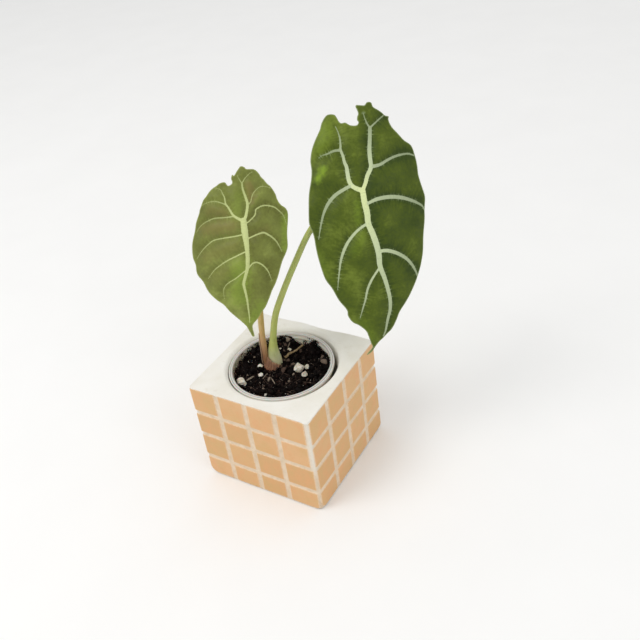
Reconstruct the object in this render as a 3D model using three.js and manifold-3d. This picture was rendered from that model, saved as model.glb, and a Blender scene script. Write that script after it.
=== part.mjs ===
// A young potted alocasia: two arrow-shaped leaves on long stalks, growing in a thin nursery
// pot that stands inside a square planter faced with small tiles.
// Millimetres, +Z up. The origin is the centre of the planter's underside, and the planter's
// front looks along -Y.
import * as THREE from 'three';
import { mergeVertices } from 'three/addons/utils/BufferGeometryUtils.js';
import Module from 'manifold-3d';

const wasm = await Module();
wasm.setup();

// Planter: a cast block with a round hole, a thin flush top and inset sides.
const PLANTER_WIDTH = 76;
const PLANTER_DEPTH = 74;
const PLANTER_HEIGHT = 66;
const TOP_LIP = 0.5;
const SIDE_INSET = 2.8;
const HOLE_RADIUS = 31.8;
const HOLE_EDGE = 1;
const HOLE_FLOOR = 9;
const CLEARANCE = 0.3;

// Tiles: four rows of four on each side. The lowest row is cut shorter.
const TILE_ROW_HEIGHTS = [16.1, 14.4, 15.4, 12.4];
const TILES_PER_ROW = 4;
const TILE_THICKNESS = 2.2;
const TILE_BEVEL = 0.5;
const ROW_JOINT = 2;
const COLUMN_JOINT = 2.4;
const BED_THICKNESS = 0.3;
const GROUT_DROP = 0.8;
const GROUT_THICKNESS = 1.1;

// Each side as seen from outside: the tile's width, the gap before the first tile, and how far
// the grout stays back at its two ends, where the next side's tiles may run over the corner.
const WIDE = { width: PLANTER_WIDTH, reach: PLANTER_DEPTH / 2 };
const NARROW = { width: PLANTER_DEPTH, reach: PLANTER_WIDTH / 2 };
const TUCKED = TILE_THICKNESS + BED_THICKNESS + CLEARANCE;
const FACES = [
  { name: 'front', turn: 0, ...WIDE, tile: 16.2, margin: 0.4, groutEnds: [GROUT_DROP, GROUT_DROP] },
  { name: 'right', turn: 90, ...NARROW, tile: 16, margin: 2.4, groutEnds: [TUCKED, GROUT_DROP] },
  { name: 'back', turn: 180, ...WIDE, tile: 15.8, margin: 2.8, groutEnds: [TUCKED, TUCKED] },
  { name: 'left', turn: 270, ...NARROW, tile: 15.9, margin: 0.4, groutEnds: [GROUT_DROP, TUCKED] },
];

// Nursery pot: thin tapered plastic, pushed a little to one side in the hole.
const CUP = { x: -1.2, y: 0.5, rim: 29.7, top: 64.5, foot: 22, wall: 0.8, floor: 1.4 };
const CUP_LIP = { height: 2.2, width: 1.5, round: 0.6 };
const CUP_FOOT = HOLE_FLOOR + CLEARANCE;
const CUP_FLOOR = CUP_FOOT + CUP.floor;
const CUP_NECK = CUP.top - CUP_LIP.height;
const DRAIN = { radius: 2.6, ring: 13, count: 5 };

// Potting mix: its level, the height of its humps and its gap to the nursery pot.
const SOIL = { top: 56.6, wave: 0.7, gap: 0.4, shoulder: 3, rings: 6 };

// The plant's short stem, as [radius, height] pairs, and the socket that it fills in the mix.
const STEM = {
  x: -11.2,
  y: 6,
  outline: [
    [0, 45], [2.6, 46], [4.3, 49], [4.8, 52], [4.7, 56], [4.8, 59], [4.4, 60.3], [3.2, 60.8], [0, 60.8],
  ],
  socket: [[0, 44.7], [5.1, 45.6], [5.1, 62], [0, 62]],
};

// Leaf stalks: centre line from the stem to just behind the blade. The radius narrows from
// waist to tip, and close to the foot it changes to base, within a length of about swell.
const LARGE_STALK = {
  path: [
    [-10.6, 8.2, 61.6], [-10.5, 8.3, 69.6], [-8.8, 9.2, 80], [-6.7, 10.3, 90], [-1.4, 13.2, 104],
    [6.7, 17.6, 122.2], [15.5, 22.4, 140], [21.5, 27.5, 148.5], [30, 34, 153.6], [36.9, 38.1, 157.2],
    [40.2, 37.3, 159.4],
  ],
  base: 3.7, waist: 2, tip: 1.4, swell: 7, steps: 34,
};
const SMALL_STALK = {
  path: [
    [-15.2, 4.9, 61.3], [-15, 5.2, 65.2], [-15.7, 6.1, 70], [-16.5, 7.4, 76.2], [-16.6, 8.7, 82.2],
    [-16.4, 10, 92], [-16.2, 10.2, 110], [-15.8, 9.8, 128], [-14.3, 8.3, 142], [-11.4, 5.3, 149.2],
    [-9.4, 3, 152.5],
  ],
  base: 1.5, waist: 1.85, tip: 1.3, swell: 4, steps: 26,
};
const STALK_SIDES = 10;

// Blades: outlines in the blade's own plane, as [along the midrib, across], from the point
// where the stalk joins. The two lobes are at negative lengths and the tip is at the far end.
const BLADE_THICKNESS = 0.8;
const BLADE_COLUMNS = 76;
const BLADE_RINGS = [0.35, 0.7, 0.92];
const LARGE_BLADE = {
  joint: [41.1, 36.3, 160.2], facing: 40, tilt: 28, spin: -6.7, bend: 0.0014, droop: 0.0068,
  outline: [
    [-42.5, 5.5], [-41, 8], [-36.5, 12.5], [-35, 15.5], [-31, 16], [-27.5, 18.5], [-20.7, 26.3],
    [-17, 27.5], [-11.5, 28.6], [-3.5, 30.4], [8.5, 32.5], [22, 31.5], [32, 30.4], [41.5, 28],
    [47.5, 25.5], [55, 21.5], [62.5, 16.6], [70, 11], [75.5, 6.3], [79, 2], [83, -1.2], [77, -0.8],
    [72, -1.8], [68, -5], [64.5, -9], [58, -13], [50, -17.2], [42.5, -21.2], [33, -24], [24.5, -25.3],
    [15, -27.5], [9.3, -27.4], [-0.6, -26.4], [-7, -24.8], [-15.2, -24.4], [-22.5, -23.4], [-28, -21],
    [-32.7, -18.3], [-36.6, -15.8], [-37.8, -13.3], [-36, -10.6], [-33.5, -8.8], [-32.8, -6.4],
    [-31.5, -4], [-31.4, -1.6], [-33.7, -0.6], [-38.3, -0.8], [-41, -0.8],
  ],
};
const SMALL_BLADE = {
  joint: [-8.9, 2.1, 153.5], facing: 28, tilt: 28, spin: -2.7, bend: 0.0018, droop: 0.0096,
  outline: [
    [-26, 0], [-24.6, 2.4], [-24.4, 6.3], [-22.4, 8.4], [-18.1, 11.6], [-13.4, 15.3], [-7.5, 17.7],
    [-4, 21], [-1.4, 21.4], [5.6, 20.7], [15.2, 20.4], [22.6, 17.3], [30.6, 15.2], [38.6, 10.7],
    [46.2, 6.7], [50, 4], [54, 1.2], [59.6, 0], [54.4, -2.3], [50.6, -6.8], [45.7, -11.3], [41.4, -15.9],
    [36, -21.2], [29.5, -25.9], [24.7, -27.4], [18.8, -29.2], [11.7, -28.8], [3.7, -26.5],
    [-3.3, -23.4], [-6.1, -23.1], [-12.2, -19.9], [-16.8, -15.2], [-18.6, -11.4], [-18.9, -9],
    [-17.3, -7.4], [-18.3, -5.7], [-21.7, -5.3], [-22.7, -3.2],
  ],
};

// Papery brown sheath: part of a sleeve round the stem's top, which flares as it rises. A tall
// strip stands up from it at a share of the way round.
const SHEATH = {
  radius: 5.8, thickness: 0.5, from: 150, to: 345, foot: 57.8, height: 3.2,
  strip: { rise: 11, at: 0.15, spread: 0.11 }, flare: 0.03,
};

// White perlite grains that lie on the potting mix: place and size.
const PERLITE = [
  { x: -17.5, y: -16.7, size: 5.2 },
  { x: -17.1, y: 1.1, size: 2.8 },
  { x: -11.6, y: -6.5, size: 2.6 },
  { x: -24.3, y: 1.8, size: 2.2 },
  { x: 6.6, y: 6, size: 5 },
  { x: 8.8, y: 9.9, size: 2.9 },
  { x: 11.5, y: 3.3, size: 3.2 },
  { x: 2.9, y: 9.3, size: 2.4 },
  { x: -8.1, y: 18.9, size: 3.2 },
  { x: -22.9, y: 7.2, size: 2 },
];
const PERLITE_PROPORTIONS = [1.1, 0.9, 0.75];
const ROOT_FIBRE = { path: [[-7.4, 13.6, 58.9], [-5, 18, 59.3], [-1.9, 23.6, 60.2]], radius: 0.6 };

const finish = (hex, roughness) => new THREE.MeshStandardMaterial({ color: hex, roughness, metalness: 0 });
const FINISHES = {
  cement: finish(0xf2efe4, 0.85),
  tile: finish(0xd9a873, 0.7),
  grout: finish(0xd6cdba, 0.95),
  cup: finish(0xe4e2da, 0.4),
  soil: finish(0x241a15, 1),
  stem: finish(0xc3c68e, 0.6),
  largeStalk: finish(0xa5b05c, 0.5),
  smallStalk: finish(0xb49368, 0.55),
  largeBlade: finish(0x4f6b2a, 0.5),
  smallBlade: finish(0x7f8c48, 0.55),
  sheath: finish(0x84563d, 0.8),
  perlite: finish(0xe8e4da, 0.95),
  fibre: finish(0xa98a5c, 0.9),
};

const plant = new THREE.Group();

function addMesh(name, geometry, material, parent = plant) {
  const mesh = new THREE.Mesh(geometry, material);
  mesh.name = name;
  parent.add(mesh);
  return mesh;
}

function radians(degrees) {
  return THREE.MathUtils.degToRad(degrees);
}

function vectors(points) {
  return points.map((point) => new THREE.Vector3(...point));
}

// Closed geometry with shared corners, and the same shape as a solid that can be joined or cut.
function welded(geometry) {
  const bare = geometry.clone();
  bare.deleteAttribute('normal');
  bare.deleteAttribute('uv');
  return mergeVertices(bare, 1e-4);
}

function toSolid(geometry) {
  const shape = welded(geometry);
  return new wasm.Manifold(new wasm.Mesh({
    numProp: 3,
    vertProperties: new Float32Array(shape.attributes.position.array),
    triVerts: new Uint32Array(shape.index.array),
  }));
}

function toGeometry(solid) {
  const mesh = solid.getMesh();
  const geometry = new THREE.BufferGeometry();
  geometry.setAttribute('position', new THREE.BufferAttribute(mesh.vertProperties, 3));
  geometry.setIndex(new THREE.BufferAttribute(mesh.triVerts, 1));
  geometry.computeVertexNormals();
  return geometry;
}

function block(x, y, z) {
  const [low, high] = [new THREE.Vector3(x[0], y[0], z[0]), new THREE.Vector3(x[1], y[1], z[1])];
  const size = high.clone().sub(low);
  const middle = low.add(high).multiplyScalar(0.5);
  return new THREE.BoxGeometry(size.x, size.y, size.z).translate(middle.x, middle.y, middle.z);
}

// A turned shape from [radius, height] pairs, with its axis along Z.
function turned(profile, segments) {
  const points = profile.map(([radius, height]) => new THREE.Vector2(radius, height));
  return new THREE.LatheGeometry(points, segments).rotateX(Math.PI / 2);
}

// Moves every vertex of a geometry by a function that changes the vector it is given.
function reshape(geometry, change) {
  const shape = welded(geometry);
  const position = shape.attributes.position;
  const vertex = new THREE.Vector3();
  for (let i = 0; i < position.count; i += 1) {
    vertex.fromBufferAttribute(position, i);
    change(vertex);
    position.setXYZ(i, vertex.x, vertex.y, vertex.z);
  }
  shape.computeVertexNormals();
  return shape;
}

function addPlanterShell() {
  const [width, depth] = [PLANTER_WIDTH / 2, PLANTER_DEPTH / 2];
  const lip = PLANTER_HEIGHT - TOP_LIP;
  const top = toSolid(block([-width, width], [-depth, depth], [lip, PLANTER_HEIGHT]));
  const [x, y] = [width - SIDE_INSET, depth - SIDE_INSET];
  const body = toSolid(block([-x, x], [-y, y], [0, lip + TOP_LIP / 2]));
  const hole = toSolid(turned([
    [0, HOLE_FLOOR],
    [HOLE_RADIUS - 2 * HOLE_EDGE, HOLE_FLOOR],
    [HOLE_RADIUS, HOLE_FLOOR + 2 * HOLE_EDGE],
    [HOLE_RADIUS, PLANTER_HEIGHT - HOLE_EDGE],
    [HOLE_RADIUS + HOLE_EDGE * 0.3, PLANTER_HEIGHT - HOLE_EDGE * 0.3],
    [HOLE_RADIUS + HOLE_EDGE, PLANTER_HEIGHT],
    [HOLE_RADIUS + HOLE_EDGE, PLANTER_HEIGHT + 1],
    [0, PLANTER_HEIGHT + 1],
  ], 56));
  addMesh('planter_shell', toGeometry(body.add(top).subtract(hole)), FINISHES.cement);
}

// Left edge of each tile on a face, and the lowest and highest level of each row.
function tileStarts(face) {
  const pitch = face.tile + COLUMN_JOINT;
  return Array.from({ length: TILES_PER_ROW }, (_, i) => -face.width / 2 + face.margin + i * pitch);
}

function rowLevels() {
  let top = PLANTER_HEIGHT - TOP_LIP - CLEARANCE;
  return TILE_ROW_HEIGHTS.map((height) => {
    const level = [top - height, top];
    top -= height + ROW_JOINT;
    return level;
  });
}

// One row of four tiles on the thin bed that holds them, drawn in plan and raised.
function tileRow(face, [low, high]) {
  const front = -face.reach;
  const back = front + TILE_THICKNESS;
  const bed = back + BED_THICKNESS;
  const starts = tileStarts(face);
  const end = starts[starts.length - 1] + face.tile;
  const plan = new THREE.Shape();
  plan.moveTo(starts[0], bed);
  for (const start of starts) {
    plan.lineTo(start, back);
    plan.lineTo(start, front + TILE_BEVEL);
    plan.lineTo(start + TILE_BEVEL, front);
    plan.lineTo(start + face.tile - TILE_BEVEL, front);
    plan.lineTo(start + face.tile, front + TILE_BEVEL);
    if (start + face.tile < end) plan.lineTo(start + face.tile, back);
  }
  plan.lineTo(end, bed);
  return new THREE.ExtrudeGeometry(plan, { depth: high - low, bevelEnabled: false }).translate(0, 0, low);
}

// The grout net of one face: a thin plate with a window round every tile.
function groutNet(face) {
  const levels = rowLevels();
  const near = -face.reach + GROUT_DROP;
  const ends = [-face.width / 2 + face.groutEnds[0], face.width / 2 - face.groutEnds[1]];
  const foot = levels[levels.length - 1][0] + GROUT_DROP;
  let net = toSolid(block(ends, [near, near + GROUT_THICKNESS], [foot, levels[0][1]]));
  for (const [low, high] of levels) {
    for (const start of tileStarts(face)) {
      net = net.subtract(toSolid(block(
        [start - CLEARANCE, start + face.tile + CLEARANCE],
        [near - 1, near + GROUT_THICKNESS + 1],
        [low - CLEARANCE, high + CLEARANCE],
      )));
    }
  }
  return toGeometry(net);
}

function addFace(face) {
  const side = new THREE.Group();
  side.rotation.z = radians(face.turn);
  plant.add(side);
  rowLevels().forEach((level, i) => {
    addMesh(`tile_row_${face.name}_${i + 1}`, tileRow(face, level), FINISHES.tile, side);
  });
  addMesh(`grout_${face.name}`, groutNet(face), FINISHES.grout, side);
}

// Radius of the nursery pot's tapered wall at a height, on its inside.
function cupInside(z) {
  const share = (z - CUP_FOOT) / (CUP_NECK - CUP_FOOT);
  return THREE.MathUtils.lerp(CUP.foot, CUP.rim - CUP_LIP.width, share) - CUP.wall;
}

function addNurseryPot() {
  const { width, round } = CUP_LIP;
  const neck = CUP.rim - width;
  const inside = neck - CUP.wall;
  let cup = toSolid(turned([
    [0, CUP_FOOT], [CUP.foot - 1, CUP_FOOT], [CUP.foot, CUP_FOOT + 1], [neck, CUP_NECK],
    [CUP.rim - round / 2, CUP_NECK + round / 3], [CUP.rim, CUP_NECK + round],
    [CUP.rim, CUP.top - round], [CUP.rim - round, CUP.top], [neck, CUP.top],
    [inside, CUP.top - round], [inside, CUP_NECK], [cupInside(CUP_FLOOR), CUP_FLOOR], [0, CUP_FLOOR],
  ], 40));
  for (let i = 0; i < DRAIN.count; i += 1) {
    const angle = (i / DRAIN.count) * 2 * Math.PI;
    const drill = new THREE.CylinderGeometry(DRAIN.radius, DRAIN.radius, 4 * CUP.floor, 12);
    drill.rotateX(Math.PI / 2);
    drill.translate(DRAIN.ring * Math.cos(angle), DRAIN.ring * Math.sin(angle), CUP_FOOT);
    cup = cup.subtract(toSolid(drill));
  }
  addMesh('nursery_pot', toGeometry(cup), FINISHES.cup).position.set(CUP.x, CUP.y, 0);
}

// Height of the potting mix, which is gently uneven.
function soilHeight(x, y) {
  return SOIL.top + SOIL.wave * (Math.sin(x / 5.5 + 1) * Math.cos(y / 4.7) + 0.5 * Math.sin(y / 2.9 + x / 9));
}

function addSoil() {
  const foot = CUP_FLOOR + CLEARANCE;
  const shoulder = SOIL.top - SOIL.shoulder;
  const edge = cupInside(SOIL.top) - SOIL.gap;
  const profile = [
    [0, foot],
    [cupInside(foot) - SOIL.gap, foot],
    [cupInside(shoulder) - SOIL.gap, shoulder],
  ];
  for (let ring = SOIL.rings; ring >= 0; ring -= 1) profile.push([(edge * ring) / SOIL.rings, SOIL.top]);
  const heap = reshape(turned(profile, 36), (vertex) => {
    vertex.x += CUP.x;
    vertex.y += CUP.y;
    if (vertex.z > shoulder + 1) vertex.z = soilHeight(vertex.x, vertex.y);
  });
  const socket = turned(STEM.socket, 20).translate(STEM.x, STEM.y, 0);
  addMesh('soil', toGeometry(toSolid(heap).subtract(toSolid(socket))), FINISHES.soil);
}

function addStemBase() {
  addMesh('stem_base', turned(STEM.outline, 18), FINISHES.stem).position.set(STEM.x, STEM.y, 0);
}

// A closed round bar with a changing radius, bent along a smooth curve.
function addStalk(name, stalk) {
  const curve = new THREE.CatmullRomCurve3(vectors(stalk.path));
  const length = curve.getLength();
  const frames = curve.computeFrenetFrames(stalk.steps, false);
  const bar = new THREE.CylinderGeometry(1, 1, 1, STALK_SIDES, stalk.steps);
  const shape = reshape(bar, (vertex) => {
    const share = vertex.y + 0.5;
    const step = Math.round(share * stalk.steps);
    const foot = (stalk.base - stalk.waist) * Math.exp((-share * length) / stalk.swell);
    const radius = THREE.MathUtils.lerp(stalk.waist, stalk.tip, share) + foot;
    const side = frames.normals[step].clone().multiplyScalar(-vertex.x * radius);
    side.addScaledVector(frames.binormals[step], vertex.z * radius);
    vertex.copy(curve.getPointAt(share)).add(side);
  });
  addMesh(`petiole_${name}`, shape, FINISHES[`${name}Stalk`]);
}

// Axes of a blade: down its length, across it, and out of its upper face.
function bladeAxes({ facing, tilt, spin }) {
  const [turn, lift, roll] = [facing, tilt, spin].map(radians);
  const out = new THREE.Vector3(
    Math.sin(turn) * Math.cos(lift),
    -Math.cos(turn) * Math.cos(lift),
    Math.sin(lift),
  );
  const level = new THREE.Vector3(Math.cos(turn), Math.sin(turn), 0);
  const fall = new THREE.Vector3().crossVectors(level, out);
  const down = fall.multiplyScalar(Math.cos(roll)).addScaledVector(level, Math.sin(roll));
  return { down, across: new THREE.Vector3().crossVectors(out, down), out };
}

// A blade is a thin round plate whose rim is pulled out to the leaf's outline and then arched.
function blade(leaf) {
  const edge = new THREE.CatmullRomCurve3(vectors(leaf.outline.map(([u, v]) => [u, v, 0])), true);
  const half = BLADE_THICKNESS / 2;
  const profile = [
    [0, -half],
    ...BLADE_RINGS.map((ring) => [ring, -half]),
    [1, -half * 0.6],
    [1, half * 0.6],
    ...BLADE_RINGS.map((ring) => [ring, half]).reverse(),
    [0, half],
  ];
  return reshape(turned(profile, BLADE_COLUMNS), (vertex) => {
    const share = (1 - Math.atan2(vertex.y, vertex.x) / (2 * Math.PI)) % 1;
    const rim = edge.getPoint(Math.round(share * BLADE_COLUMNS) / BLADE_COLUMNS);
    const radius = Math.hypot(vertex.x, vertex.y);
    const [u, v] = [rim.x * radius, rim.y * radius];
    vertex.set(u, v, vertex.z - leaf.bend * u * u - leaf.droop * v * v);
  });
}

function addLeaf(name, leaf) {
  const { down, across, out } = bladeAxes(leaf);
  const mesh = addMesh(`leaf_${name}`, blade(leaf), FINISHES[`${name}Blade`]);
  mesh.quaternion.setFromRotationMatrix(new THREE.Matrix4().makeBasis(down, across, out));
  mesh.position.set(...leaf.joint);
}

function addSheath() {
  const [from, to] = [SHEATH.from, SHEATH.to].map(radians);
  const { rise, at, spread } = SHEATH.strip;
  const arc = new THREE.Shape();
  arc.absarc(0, 0, SHEATH.radius, from, to, false);
  arc.absarc(0, 0, SHEATH.radius - SHEATH.thickness, to, from, true);
  const options = { depth: 1, steps: 4, bevelEnabled: false, curveSegments: 14 };
  const shaped = reshape(new THREE.ExtrudeGeometry(arc, options), (vertex) => {
    const angle = (Math.atan2(vertex.y, vertex.x) + 2 * Math.PI) % (2 * Math.PI);
    const share = (angle - from) / (to - from);
    vertex.z *= SHEATH.height + rise * Math.exp(-(((share - at) / spread) ** 2));
    const wide = 1 + SHEATH.flare * vertex.z;
    vertex.x *= wide;
    vertex.y *= wide;
  });
  addMesh('sheath', shaped, FINISHES.sheath).position.set(STEM.x, STEM.y, SHEATH.foot);
}

function addPerlite() {
  PERLITE.forEach(({ x, y, size }, i) => {
    const grain = new THREE.IcosahedronGeometry(size / 2, 0).scale(...PERLITE_PROPORTIONS).rotateZ(i);
    const lift = (size / 2) * PERLITE_PROPORTIONS[2] + 2 * CLEARANCE;
    const mesh = addMesh(`perlite_${i + 1}`, grain, FINISHES.perlite);
    mesh.position.set(x, y, soilHeight(x, y) + lift);
  });
}

function addRootFibre() {
  const { path, radius } = ROOT_FIBRE;
  const section = new THREE.Shape().absarc(0, 0, radius, 0, 2 * Math.PI);
  const extrudePath = new THREE.CatmullRomCurve3(vectors(path));
  const options = { steps: 6, extrudePath, curveSegments: 4 };
  addMesh('root_fibre', new THREE.ExtrudeGeometry(section, options), FINISHES.fibre);
}

addPlanterShell();
FACES.forEach(addFace);
addNurseryPot();
addSoil();
addStemBase();
addStalk('large', LARGE_STALK);
addStalk('small', SMALL_STALK);
addLeaf('large', LARGE_BLADE);
addLeaf('small', SMALL_BLADE);
addSheath();
addPerlite();
addRootFibre();

export default plant;
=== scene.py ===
import math

import bmesh
import bpy
import numpy as np
from mathutils import Matrix, Vector, geometry, noise


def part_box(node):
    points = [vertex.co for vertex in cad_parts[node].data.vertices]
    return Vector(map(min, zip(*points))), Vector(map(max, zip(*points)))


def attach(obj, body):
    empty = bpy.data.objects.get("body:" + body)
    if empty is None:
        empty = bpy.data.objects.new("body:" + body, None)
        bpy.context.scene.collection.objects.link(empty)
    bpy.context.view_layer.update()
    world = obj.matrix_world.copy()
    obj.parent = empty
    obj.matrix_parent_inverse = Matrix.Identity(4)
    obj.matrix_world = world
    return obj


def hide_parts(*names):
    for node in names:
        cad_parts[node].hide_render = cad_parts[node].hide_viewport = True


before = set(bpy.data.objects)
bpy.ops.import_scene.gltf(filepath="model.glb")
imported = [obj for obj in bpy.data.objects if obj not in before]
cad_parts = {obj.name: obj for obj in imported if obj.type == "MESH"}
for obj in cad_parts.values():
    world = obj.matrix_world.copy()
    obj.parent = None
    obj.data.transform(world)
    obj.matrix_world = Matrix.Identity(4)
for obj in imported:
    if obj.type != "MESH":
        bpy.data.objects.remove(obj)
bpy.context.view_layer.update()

# The object's lengths are in millimetres until a mesh is made. The lights, the floor and the
# depth that light reaches into a material are in metres.
MM = 0.001
SEED = 27

# How many points are compared with others at a time.
BATCH = 2000

# The camera, solved from the planter's corners in a picture of 640 x 640 pixels.
PICTURE = 640
FOCAL_PIXELS = 789.5
CAMERA_PLACE = (214.8, -270.3, 336.0)
CAMERA_AZIMUTH = 34.47
CAMERA_ELEVATION = 35.41
CAMERA_ROLL = -8.28
SENSOR = 36

# Disk lights, all turned to one place: name, place, diameter, watts and colour.
LIT_MIDDLE = (0.0, 0.0, 0.09)
LIGHTS = (
    ("key", (-0.5, -0.7, 1.2), 0.75, 5.8, (1, 0.985, 0.96)),
    ("side", (1.1, -0.35, 0.7), 0.8, 1.5, (0.97, 0.985, 1)),
    ("ceiling", (0.1, 0.3, 2.6), 3.0, 5.0, (1, 1, 1)),
)
WORLD_STRENGTH = 0.74
FLOOR_HALF = 6

# Planter. The frame gives its outer size and its rows of tiles, and these are the details.
COLUMN_JOINT = 2.4
TILE_ROWS = 4
TILES_PER_ROW = 4
TILE_DEPTH = 2.3
CORNER_TILE_DEPTH = 1.2
TILE_ROUND = 0.6
WORN_LEFT_CORNER = 4.6
WORN_RIGHT_CORNER = 2.4
HOLE_GAP_LEAST = 0.2
HOLE_GAP_MORE = 2.1
HOLE_WIDEST_TURN = 5
HOLE_FLOOR = 9.0
HOLE_ROUND = 2.6
HOLE_NARROW = 30.1
BODY_INSET = 2.8
BODY_ROUND = 1.6
BODY_FOOT = 0.01
GROUT_DROP = 0.62
GROUT_THICKNESS = 1.1

# How much further than the frame's tile the last tile of a row runs towards the front's right
# corner, by row, and the first tile of a row from that corner on the right side.
FRONT_TILE_EXTRA = (0.7, 0.7, 2.1, 2.1)
RIGHT_TILE_EXTRA = 1.1

# Blades. An outline and a vein are pixels of the picture; a vein also has its half widths in
# millimetres on the way, and how pale it is at its two ends. A glow is a lighter patch along a
# line between two pixels, with its half width in millimetres and its strength.
# A blade falls away from its joint by bend along its length and by droop across it, times the
# distance squared. It swells by puff between its veins, most of it within reach of a vein, and a
# vein rises by ridge times its half width. The margin waves by wave, once in wave_length. The
# rear lobes lie lower by sink, and calm is the share of their waves that is taken away.
# The green holds painted light and shade: a painted sheen lightens the rear lobes by lobe_light,
# painted light makes the left lighter than the right by side_light, and painted shade darkens
# the green beside the veins by up to vein_shadow.
LARGE_LEAF = {
    "joint": (41.1, 36.3, 160.2), "facing": 40, "tilt": 28, "spin": -6.7,
    "bend": 0.0014, "droop": 0.0068,
    "outline": [
        (364.4, 105.1), (367, 102.1), (371.1, 102.4), (373, 106.6), (379, 110.3), (382, 112.3),
        (385.7, 115.4), (388.9, 116.1), (388.6, 119.3), (391.4, 126.4), (397.1, 132.9), (404, 140.3),
        (410.7, 145), (414.3, 152.9), (416.9, 164.3), (418.3, 174.3), (421.4, 185.7), (425, 197.1),
        (425.1, 204.3), (424.6, 211.4), (424, 227.1), (423.1, 241.4), (422.6, 254.3), (420.7, 265.7),
        (415, 282.9), (410.7, 292.9), (405, 302.9), (400, 311.4), (396.7, 319.6), (391.3, 329.2),
        (387.5, 333.4), (383.3, 338), (379.4, 341.4), (376.4, 344.9), (371.8, 351.7), (366.8, 355.2),
        (368, 352.9), (372.6, 346.8), (371.4, 344.1), (368, 335.3), (366.4, 331.5), (359.5, 325.7),
        (352.3, 321.9), (347.7, 315.4), (347.1, 310.7), (338.6, 300), (332.1, 288.6), (325.7, 280),
        (322.1, 271.4), (318.6, 260), (315.7, 247.1), (313.6, 235.7), (309.3, 224.3), (308.6, 215.7),
        (308.6, 198.6), (309.4, 190), (311.1, 178.6), (311.4, 170), (310.4, 161.3), (311.6, 150.6),
        (314.4, 141.9), (317.8, 134.2), (319.8, 129.7), (321.8, 122.5), (325.7, 116.1), (328, 114.6),
        (334.1, 114.6), (336.1, 116.4), (339.2, 121.5), (341.2, 123.1), (345.3, 122.5), (349.9, 125.1),
        (356.8, 125.1), (358.6, 122.1), (357.3, 120.2), (357.3, 116.4), (358.3, 113.8), (356.5, 108.7),
        (355.5, 106.7), (356, 105.1), (360.1, 105.1),
    ],
    "veins": [
        ([(362.5, 190.5), (364.3, 201.4), (367.1, 212.9), (368.3, 222.9), (372.9, 234.3), (376.4, 244.3),
          (378.9, 254.3), (380, 265.7), (384.3, 277.1), (387.4, 287.1), (390, 298.6), (390.3, 310),
          (387.7, 320), (385.3, 331.4), (383.6, 336)],
         (1.35, 1.55, 1.4, 1.5, 1.4, 1.15, 1, 0.9, 0.7, 0.35), (1, 0.5)),
        ([(362.5, 190.5), (357.1, 188.9), (352.1, 186), (349.2, 181.4), (347.8, 175.7), (346.5, 167),
          (344.5, 162.3), (343.3, 157.2), (340.7, 149.6), (340.5, 144.4), (339.7, 137.3), (337.1, 129.7),
          (335.6, 126.6)],
         (1.2, 1.05, 1, 0.93, 0.75, 0.65, 0.5, 0.35, 0.2), (1, 0.4)),
        ([(340.2, 150.1), (335.6, 150.6), (332.8, 151.3), (327.4, 153.9), (321.3, 155.9), (318.8, 158.2)],
         (0.65, 0.6, 0.5, 0.3, 0.15), (0.5, 0.3)),
        ([(352, 185), (344.2, 189.3), (335.6, 195), (329.2, 202.1), (324.2, 212.1), (321.3, 223.6),
          (319.6, 233.6), (318.7, 239.3)],
         (0.77, 0.85, 0.85, 0.6, 0.42, 0.2), (0.65, 0.4)),
        ([(362.5, 190.5), (365.4, 182.9), (367.3, 175.7), (370.3, 169.3), (371.1, 165.7), (370.6, 162.8),
          (369.6, 153.1), (369.5, 148), (369.9, 137.8), (370.1, 127.6)],
         (0.9, 1, 1.05, 0.98, 0.87), (1, 0.5)),
        ([(369.7, 127.1), (367.2, 123.5), (364.4, 116.4), (363.7, 113.3)], (0.5, 0.35, 0.2), (0.5, 0.3)),
        ([(370.6, 127.1), (376.9, 121.2), (382.6, 116.1), (384.1, 114.9)], (0.45, 0.4, 0.3), (0.5, 0.35)),
        ([(372.1, 166.6), (380, 164.5), (387.1, 160.2), (394.3, 156.6), (401.4, 154.5), (408.6, 153.7),
          (413.6, 155.2)],
         (0.85, 0.75, 0.65, 0.6, 0.5, 0.4), (0.6, 0.4)),
        ([(368.3, 203.2), (375.4, 199.7), (384, 197.5), (392.6, 196.8), (401.1, 197.5), (409.7, 199.7),
          (416.8, 202.5), (422.6, 206.1), (424.3, 209.7)],
         (0.7, 0.9, 0.95, 0.95, 0.9, 0.8, 0.6, 0.35), (0.7, 0.45)),
        ([(380, 251.2), (386.4, 250.5), (393.6, 251.9), (400.7, 254.8), (407.2, 259.1), (412.2, 264.8),
          (415.7, 271.2), (417.2, 275.5)],
         (0.8, 0.9, 0.9, 0.85, 0.8, 0.65, 0.4), (0.75, 0.45)),
        ([(367, 223.8), (359.9, 228.6), (353.4, 235), (347.7, 242.8), (343.4, 252.1), (340.6, 262.1),
          (339.2, 273.6), (338.2, 283.6), (337.7, 290)],
         (0.65, 0.65, 0.7, 0.75, 0.7, 0.55, 0.4, 0.28, 0.15), (0.8, 0.5)),
        ([(380.7, 266.4), (375.6, 273.6), (371.3, 280.7), (367.7, 289.3), (365.6, 299.3), (362.7, 309.3),
          (360.2, 317.8)],
         (0.6, 0.55, 0.6, 0.55, 0.45, 0.35, 0.2), (0.8, 0.5)),
    ],
    "glows": [
        ((323.5, 168.5), (317.5, 180), 1.5, 1), ((357, 203), (358, 222), 1.6, 0.4),
        ((362, 236), (354, 250), 2.5, 0.25), ((325, 128), (320, 146), 3.5, 0.3),
        ((318, 254), (334, 288), 2, 0.15), ((372, 338), (360, 324), 3, 0.2),
    ],
    "tans": [],
    "spacing": 0.58, "puff": 2.5, "reach": 2.6, "ridge": 0.34,
    "wave": 0.7, "wave_length": 15,
    "lobe_light": 0.2, "side_light": 0.08, "vein_shadow": 0.36, "sink": 0.5, "calm": 0.8,
}
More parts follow.
